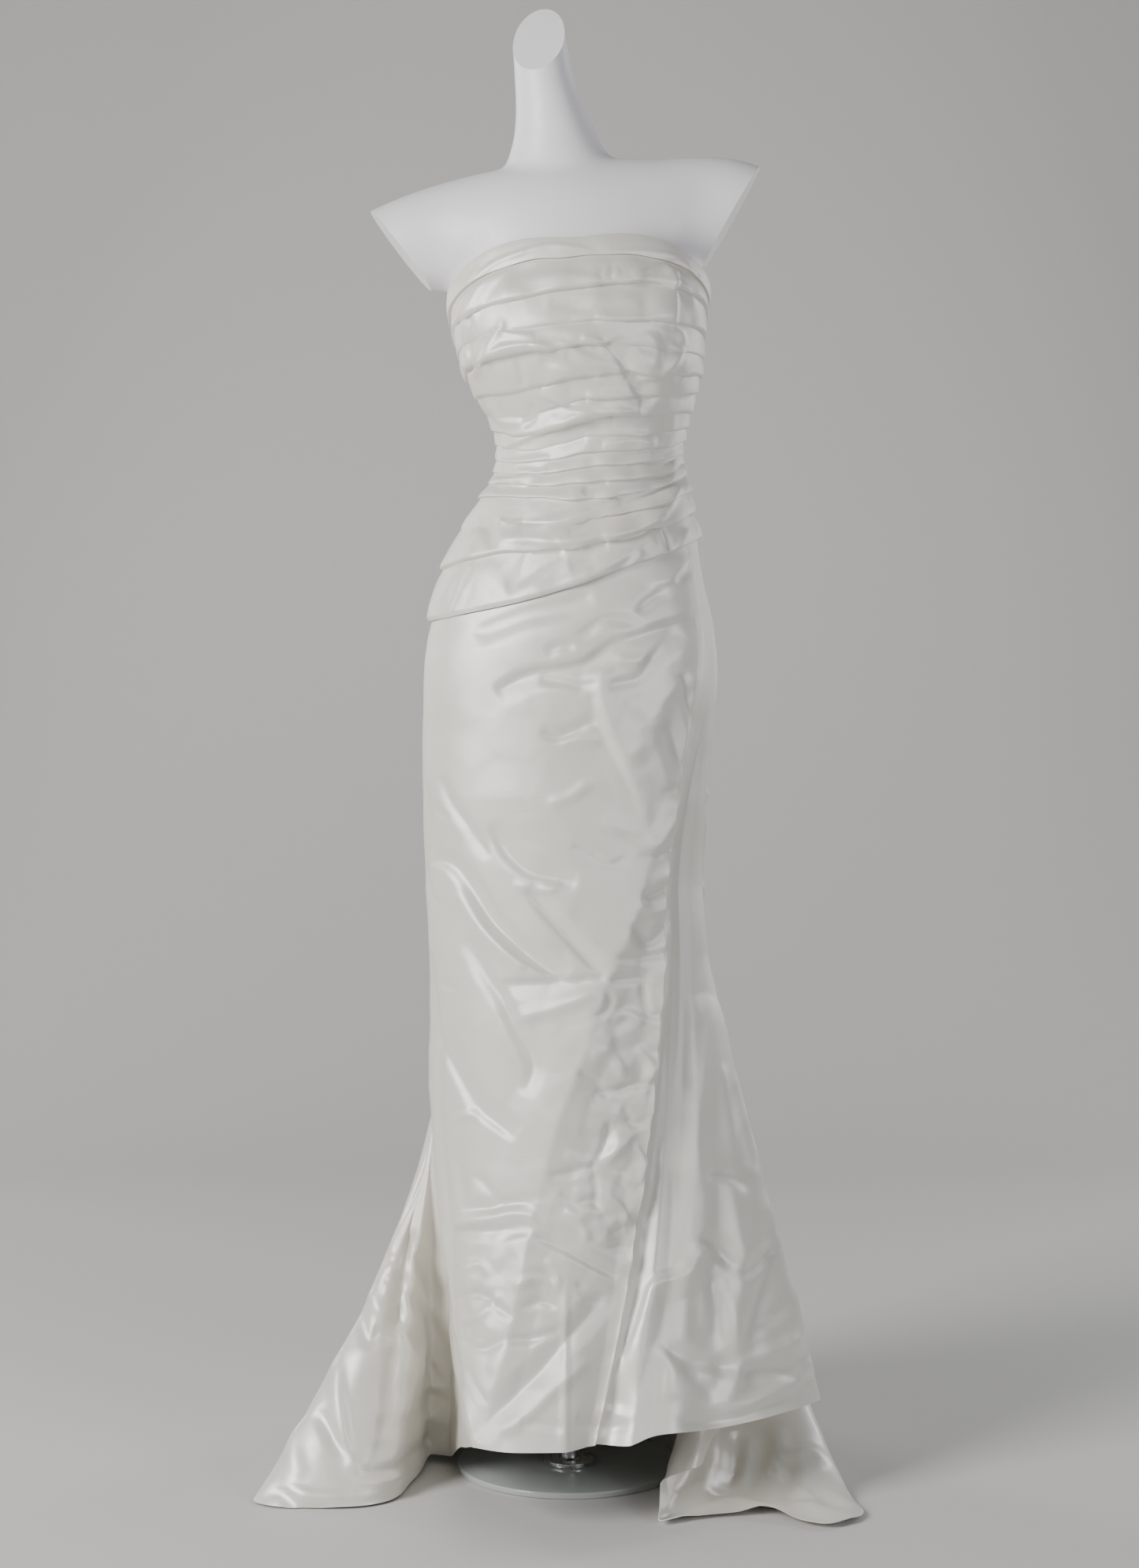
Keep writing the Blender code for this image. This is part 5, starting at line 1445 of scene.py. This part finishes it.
print({node: cloth[node][1] for node in skirt_names})

# %% [markdown]
# ## Stitches
#
# A gown like this is finished by hand. Small prick stitches hold the hem, and slip stitches show
# along the slanting seam. They repeat along a line, so Geometry Nodes lay them: the line is cut at
# equal steps, a short thread is put at each step and turned along it, and a little unevenness
# comes from a fixed seed.

# %% The stitch tree
def make_stitch_tree():
    """A tree that turns a line of edges into a row of short threads."""
    tree = bpy.data.node_groups.new("hand_stitches", "GeometryNodeTree")
    tree.is_modifier = True
    for label, kind, value in (
        ("Line", "NodeSocketGeometry", None), ("Spacing", "NodeSocketFloat", 0.012),
        ("Stitch length", "NodeSocketFloat", 0.002), ("Thread radius", "NodeSocketFloat", 0.00018),
        ("Seed", "NodeSocketInt", 1), ("Thread", "NodeSocketMaterial", None),
    ):
        socket = tree.interface.new_socket(label, in_out="INPUT", socket_type=kind)
        if value is not None:
            socket.default_value = value
    tree.interface.new_socket("Stitches", in_out="OUTPUT", socket_type="NodeSocketGeometry")
    ins, outs = tree.nodes.new("NodeGroupInput"), tree.nodes.new("NodeGroupOutput")
    to_curve = tree.nodes.new("GeometryNodeMeshToCurve")
    steps = tree.nodes.new("GeometryNodeResampleCurve")
    steps.mode = "LENGTH"
    to_points = tree.nodes.new("GeometryNodeCurveToPoints")
    to_points.mode = "EVALUATED"
    thread = tree.nodes.new("GeometryNodeMeshUVSphere")
    thread.inputs["Segments"].default_value = 6
    thread.inputs["Rings"].default_value = 4
    shape = tree.nodes.new("ShaderNodeCombineXYZ")
    half = tree.nodes.new("ShaderNodeMath")
    half.operation = "MULTIPLY"
    half.inputs[1].default_value = 0.5
    stretch = tree.nodes.new("GeometryNodeTransform")
    place = tree.nodes.new("GeometryNodeInstanceOnPoints")
    wander = tree.nodes.new("FunctionNodeRandomValue")
    wander.data_type = "FLOAT_VECTOR"
    wander.inputs[0].default_value = (0.85, 0.85, 0.7)
    wander.inputs[1].default_value = (1.15, 1.15, 1.25)
    realize = tree.nodes.new("GeometryNodeRealizeInstances")
    finish = tree.nodes.new("GeometryNodeSetMaterial")
    link = tree.links.new
    link(ins.outputs["Line"], to_curve.inputs["Mesh"])
    link(to_curve.outputs["Curve"], steps.inputs["Curve"])
    link(ins.outputs["Spacing"], steps.inputs["Length"])
    link(steps.outputs["Curve"], to_points.inputs["Curve"])
    link(ins.outputs["Stitch length"], half.inputs[0])
    link(ins.outputs["Thread radius"], shape.inputs[0])
    link(ins.outputs["Thread radius"], shape.inputs[1])
    link(half.outputs[0], shape.inputs[2])
    link(thread.outputs["Mesh"], stretch.inputs["Geometry"])
    link(shape.outputs[0], stretch.inputs["Scale"])
    link(to_points.outputs["Points"], place.inputs["Points"])
    link(to_points.outputs["Rotation"], place.inputs["Rotation"])
    link(stretch.outputs["Geometry"], place.inputs["Instance"])
    link(ins.outputs["Seed"], wander.inputs["Seed"])
    link(wander.outputs[0], place.inputs["Scale"])
    link(place.outputs["Instances"], realize.inputs["Geometry"])
    link(realize.outputs["Geometry"], finish.inputs["Geometry"])
    link(ins.outputs["Thread"], finish.inputs["Material"])
    link(finish.outputs["Geometry"], outs.inputs["Stitches"])
    return tree


stitch_tree = make_stitch_tree()
print("stitch tree has", len(stitch_tree.nodes), "nodes")

# %% Thread
def make_thread():
    """Ivory silk thread, a shade deeper than the cloth."""
    material, tree, shader = new_material("ivory_thread")
    place = tree.nodes.new("ShaderNodeTexCoord").outputs["Object"]
    cloud = place_group(tree, cloud_group, Place=place, Scale=60.0)
    colour = blend_colours(tree, cloud.outputs["Broad"], (0.80, 0.765, 0.69), (0.70, 0.66, 0.58))
    tree.links.new(colour, shader.inputs["Base Color"])
    shader.inputs["Roughness"].default_value = 0.5
    shader.inputs["Sheen Weight"].default_value = 0.2
    return material


thread_material = make_thread()


def stitched_line(name, line, spacing, length, radius, seed):
    """A row of stitches along a list of points, made a plain mesh."""
    mesh = bpy.data.meshes.new(name + "_line")
    mesh.from_pydata(line.tolist(), [(i, i + 1) for i in range(len(line) - 1)], [])
    guide = bpy.data.objects.new(name + "_line", mesh)
    bpy.context.scene.collection.objects.link(guide)
    modifier = guide.modifiers.new("stitches", "NODES")
    modifier.node_group = stitch_tree
    values = {
        "Spacing": spacing, "Stitch length": length, "Thread radius": radius,
        "Seed": seed, "Thread": thread_material,
    }
    for item in stitch_tree.interface.items_tree:
        if item.in_out == "INPUT" and item.name in values:
            modifier[item.identifier] = values[item.name]
    graph = bpy.context.evaluated_depsgraph_get()
    made = bpy.data.meshes.new_from_object(guide.evaluated_get(graph))
    bpy.data.objects.remove(guide)
    made.name = name
    made.shade_smooth()
    piece = bpy.data.objects.new(name, made)
    bpy.context.scene.collection.objects.link(piece)
    return piece


# %% Lay the stitches
HEM_STITCH_UP = 0.022


def raised_row(points, normals, row, lift):
    """A line a little proud of the cloth along one row of a grid."""
    return points[row] + normals[row] * lift


fine_normals = surface_normals(skirt_points, closed=True)
row_drop = np.linalg.norm(skirt_points[-1] - skirt_points[-2], axis=-1).mean()
hem_row = -1 - int(round(HEM_STITCH_UP / row_drop))
hem_line = raised_row(skirt_points, fine_normals, hem_row, 0.0001)
hem_line = np.concatenate([hem_line, hem_line[:1]])
bodice_fine_normals = surface_normals(bodice_points, closed=True)
seam_line = raised_row(bodice_points, bodice_fine_normals, -5, 0.0001)
seam_line = np.concatenate([seam_line, seam_line[:1]])
stitches = [
    stitched_line("hem_stitches", hem_line, 0.011, 0.0018, 0.00016, 1),
    stitched_line("slanting_seam_stitches", seam_line, 0.007, 0.0016, 0.00014, 2),
]
print("stitches:", {piece.name: len(piece.data.polygons) for piece in stitches})

# %% [markdown]
# ## The dress form
#
# The form is an abstract torso: trunk, a bar for the shoulders and a leaning neck, all flowing into
# each other, with the arms and the neck sliced off flat. The three lofts are made one by a voxel
# remesh and smoothed until the joins melt, and only then sliced, so the cuts stay crisp.

# %% Sizes of the form
FORM_FOOT_Z = 0.83
FORM_EASE = 0.0024
FORM_INSET_COLUMNS = ("z", "inset")
FORM_INSET = (
    (0.830, 0.040), (0.900, 0.026), (0.960, 0.013), (1.020, 0.005), (1.055, 0.000), (1.620, 0.000),
)
SHOULDER_COLUMNS = ("x", "y", "z", "half_depth", "half_height")
SHOULDERS = (
    (-0.250, 0.004, 1.500, 0.045, 0.046),
    (-0.200, 0.006, 1.510, 0.055, 0.058),
    (-0.155, 0.006, 1.520, 0.062, 0.063),
    (-0.115, 0.004, 1.518, 0.074, 0.075),
    (-0.060, 0.000, 1.505, 0.090, 0.098),
    (0.000, -0.002, 1.500, 0.096, 0.110),
    (0.060, 0.000, 1.505, 0.090, 0.107),
    (0.115, 0.004, 1.529, 0.075, 0.084),
    (0.155, 0.006, 1.5455, 0.062, 0.070),
    (0.200, 0.006, 1.553, 0.055, 0.059),
    (0.250, 0.004, 1.550, 0.045, 0.046),
)
NECK_COLUMNS = ("z", "x", "y", "half_width", "half_depth")
NECK = (
    (1.540, -0.004, 0.004, 0.085, 0.064),
    (1.575, -0.006, 0.005, 0.074, 0.059),
    (1.605, -0.011, 0.006, 0.065, 0.054),
    (1.635, -0.0155, 0.006, 0.052, 0.050),
    (1.665, -0.021, 0.005, 0.0435, 0.047),
    (1.700, -0.0285, 0.003, 0.0370, 0.044),
    (1.750, -0.0355, 0.000, 0.0330, 0.041),
    (1.830, -0.046, -0.004, 0.0300, 0.038),
)
NECK_CUT = ((-0.037, 0.0, 1.755), (-0.467, -1.10, 1.0))
LEFT_ARM_CUT = ((-0.192, 0.0, 1.491), (-0.79, -0.05, -0.61))
RIGHT_ARM_CUT = ((0.192, 0.0, 1.540), (0.870, -0.05, -0.490))

# %% Lofts of the form
OVAL_SIDES = 96


def loft_rings(rings):
    """Faces and points of a closed loft through rings of points."""
    count, sides = rings.shape[:2]
    ring, side = np.meshgrid(np.arange(count - 1), np.arange(sides), indexing="ij")
    after = (side + 1) % sides
    quads = np.stack([
        ring * sides + side, ring * sides + after, (ring + 1) * sides + after, (ring + 1) * sides + side,
    ], axis=-1).reshape(-1, 4).tolist()
    ends = [list(reversed(range(sides))), [(count - 1) * sides + side for side in range(sides)]]
    return rings.reshape(-1, 3).tolist(), quads + ends


def torso_rings():
    """Rings of the trunk from its foot to the base of the neck."""
    bearings = np.arange(OVAL_SIDES) * 360 / OVAL_SIDES
    levels = np.linspace(FORM_FOOT_Z, BODY[-1][0], 90)
    heights, insets = (column(FORM_INSET, FORM_INSET_COLUMNS, name) for name in FORM_INSET_COLUMNS)
    insets = FORM_EASE + hermite(heights, insets, levels, bounded=True)
    return np.array([
        body_point(np.full(OVAL_SIDES, z), bearings, -inset) for z, inset in zip(levels, insets)
    ])


def oval_rings(table, columns, along, count):
    """Ovals through a table whose first column runs along the loft, across x or up z."""
    knots = column(table, columns, columns[0])
    at = np.linspace(knots[0], knots[-1], count)
    a, b, half_a, half_b = (hermite(knots, column(table, columns, name), at) for name in columns[1:])
    turns = np.radians(np.arange(OVAL_SIDES) * 360 / OVAL_SIDES)[:, None]
    first, second, third = at + 0 * turns, a + half_a * np.cos(turns), b + half_b * np.sin(turns)
    order = (first, second, third) if along == "x" else (second, third, first)
    return np.stack(order, axis=-1).swapaxes(0, 1)


lofts = (
    torso_rings(),
    oval_rings(SHOULDERS, SHOULDER_COLUMNS, "x", 90),
    oval_rings(NECK, NECK_COLUMNS, "z", 60),
)
print("loft rings:", [len(rings) for rings in lofts])

# %% Join, smooth and slice the form
FORM_VOXEL = 0.0045


def slice_flat(work, point, normal):
    """Cuts away what lies beyond a plane, and closes the cut with a flat face."""
    everything = work.verts[:] + work.edges[:] + work.faces[:]
    cut = bmesh.ops.bisect_plane(
        work, geom=everything, plane_co=point, plane_no=Vector(normal).normalized(), clear_outer=True
    )
    rim = [part for part in cut["geom_cut"] if isinstance(part, bmesh.types.BMEdge)]
    return bmesh.ops.contextual_create(work, geom=rim)["faces"]


def make_form():
    """The smooth limbless form, as one closed mesh."""
    work = bmesh.new()
    for rings in lofts:
        points, faces = loft_rings(rings)
        made = [work.verts.new(point) for point in points]
        for face in faces:
            work.faces.new([made[i] for i in face])
    bmesh.ops.recalc_face_normals(work, faces=work.faces)
    mesh = bpy.data.meshes.new("form_lofts")
    work.to_mesh(mesh)
    work.free()
    lump = bpy.data.objects.new("form_lofts", mesh)
    bpy.context.scene.collection.objects.link(lump)
    remesh = lump.modifiers.new("one", "REMESH")
    remesh.mode = "VOXEL"
    remesh.voxel_size = FORM_VOXEL
    smooth = lump.modifiers.new("soft", "SMOOTH")
    smooth.factor = 0.5
    smooth.iterations = 26
    graph = bpy.context.evaluated_depsgraph_get()
    joined = bpy.data.meshes.new_from_object(lump.evaluated_get(graph))
    bpy.data.objects.remove(lump)
    work = bmesh.new()
    work.from_mesh(joined)
    for point, normal in (NECK_CUT, LEFT_ARM_CUT, RIGHT_ARM_CUT):
        slice_flat(work, point, normal)
    bmesh.ops.recalc_face_normals(work, faces=work.faces)
    work.to_mesh(joined)
    work.free()
    joined.name = "form_shell"
    joined.shade_smooth()
    joined.set_sharp_from_angle(angle=math.radians(35))
    joined.materials.clear()
    joined.materials.append(form_paint)
    form = bpy.data.objects.new("form_shell", joined)
    bpy.context.scene.collection.objects.link(form)
    return form


form = make_form()
print("form has", len(form.data.polygons), "faces")

# %% [markdown]
# ## The stand
#
# A round glass plate lies on the floor, and a steel rod with a small flange rises from it into the
# form. Both are turned shapes: a profile spun round an upright axis, with the sharp corners eased.

# %% Turned pieces
def turned(name, profile, centre_y, material, sides=128):
    """A solid turned about an upright axis, from a profile of radius and height, bottom to top."""
    turns = np.radians(np.arange(sides) * 360 / sides)
    rings = np.array([
        np.stack([radius * np.cos(turns), centre_y + radius * np.sin(turns), np.full(sides, z)], axis=-1)
        for radius, z in profile
    ])
    points, faces = loft_rings(rings)
    mesh = bpy.data.meshes.new(name)
    mesh.from_pydata(points, [], faces)
    mesh.shade_smooth()
    mesh.set_sharp_from_angle(angle=math.radians(40))
    mesh.materials.append(material)
    piece = bpy.data.objects.new(name, mesh)
    bpy.context.scene.collection.objects.link(piece)
    return piece


def eased(radius, low, high, ease, steps=5):
    """The outer profile of a plate whose two corners are rounded."""
    profile = []
    for step in range(steps + 1):
        angle = math.pi / 2 * step / steps
        profile.append((radius - ease + ease * math.sin(angle), low + ease - ease * math.cos(angle)))
    for step in range(steps + 1):
        angle = math.pi / 2 * step / steps
        profile.append((radius - ease + ease * math.cos(angle), high - ease + ease * math.sin(angle)))
    return profile


base_low, base_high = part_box("stand_base")
rod_low, rod_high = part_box("stand_rod")
BASE_EASE, FLANGE_EASE = 0.0018, 0.0012
ROD_RADIUS, FLANGE_HEIGHT, WELD = 0.0125, 0.006, 0.002
base_plate = turned(
    "stand_base_plate",
    eased((base_high.x - base_low.x) / 2, base_low.z, base_high.z, BASE_EASE),
    (base_low.y + base_high.y) / 2,
    glass,
)
flange = eased(rod_high.x, rod_low.z, rod_low.z + FLANGE_HEIGHT, FLANGE_EASE)
flange_top = flange[-1][1]
rod = turned(
    "stand_rod_tube",
    flange + [
        (ROD_RADIUS + WELD, flange_top), (ROD_RADIUS, flange_top + WELD), (ROD_RADIUS, rod_high.z),
    ],
    (rod_low.y + rod_high.y) / 2,
    steel,
    sides=64,
)
print("base is", round(base_high.x - base_low.x, 3), "m across")

# %% [markdown]
# ## Hand over
#
# Everything stands still, so each piece rides on the one body, and where a piece stands for a solid
# of the model, that solid is hidden.

for node, (piece, (width, length, area)) in cloth.items():
    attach(piece, "root")
    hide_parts(node)
for piece in stitches:
    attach(piece, "root")
for piece, node, slot in (
    (form, "dress_form", "white_form"),
    (base_plate, "stand_base", "clear_glass"),
    (rod, "stand_rod", "steel"),
):
    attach(piece, "root")
    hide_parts(node)
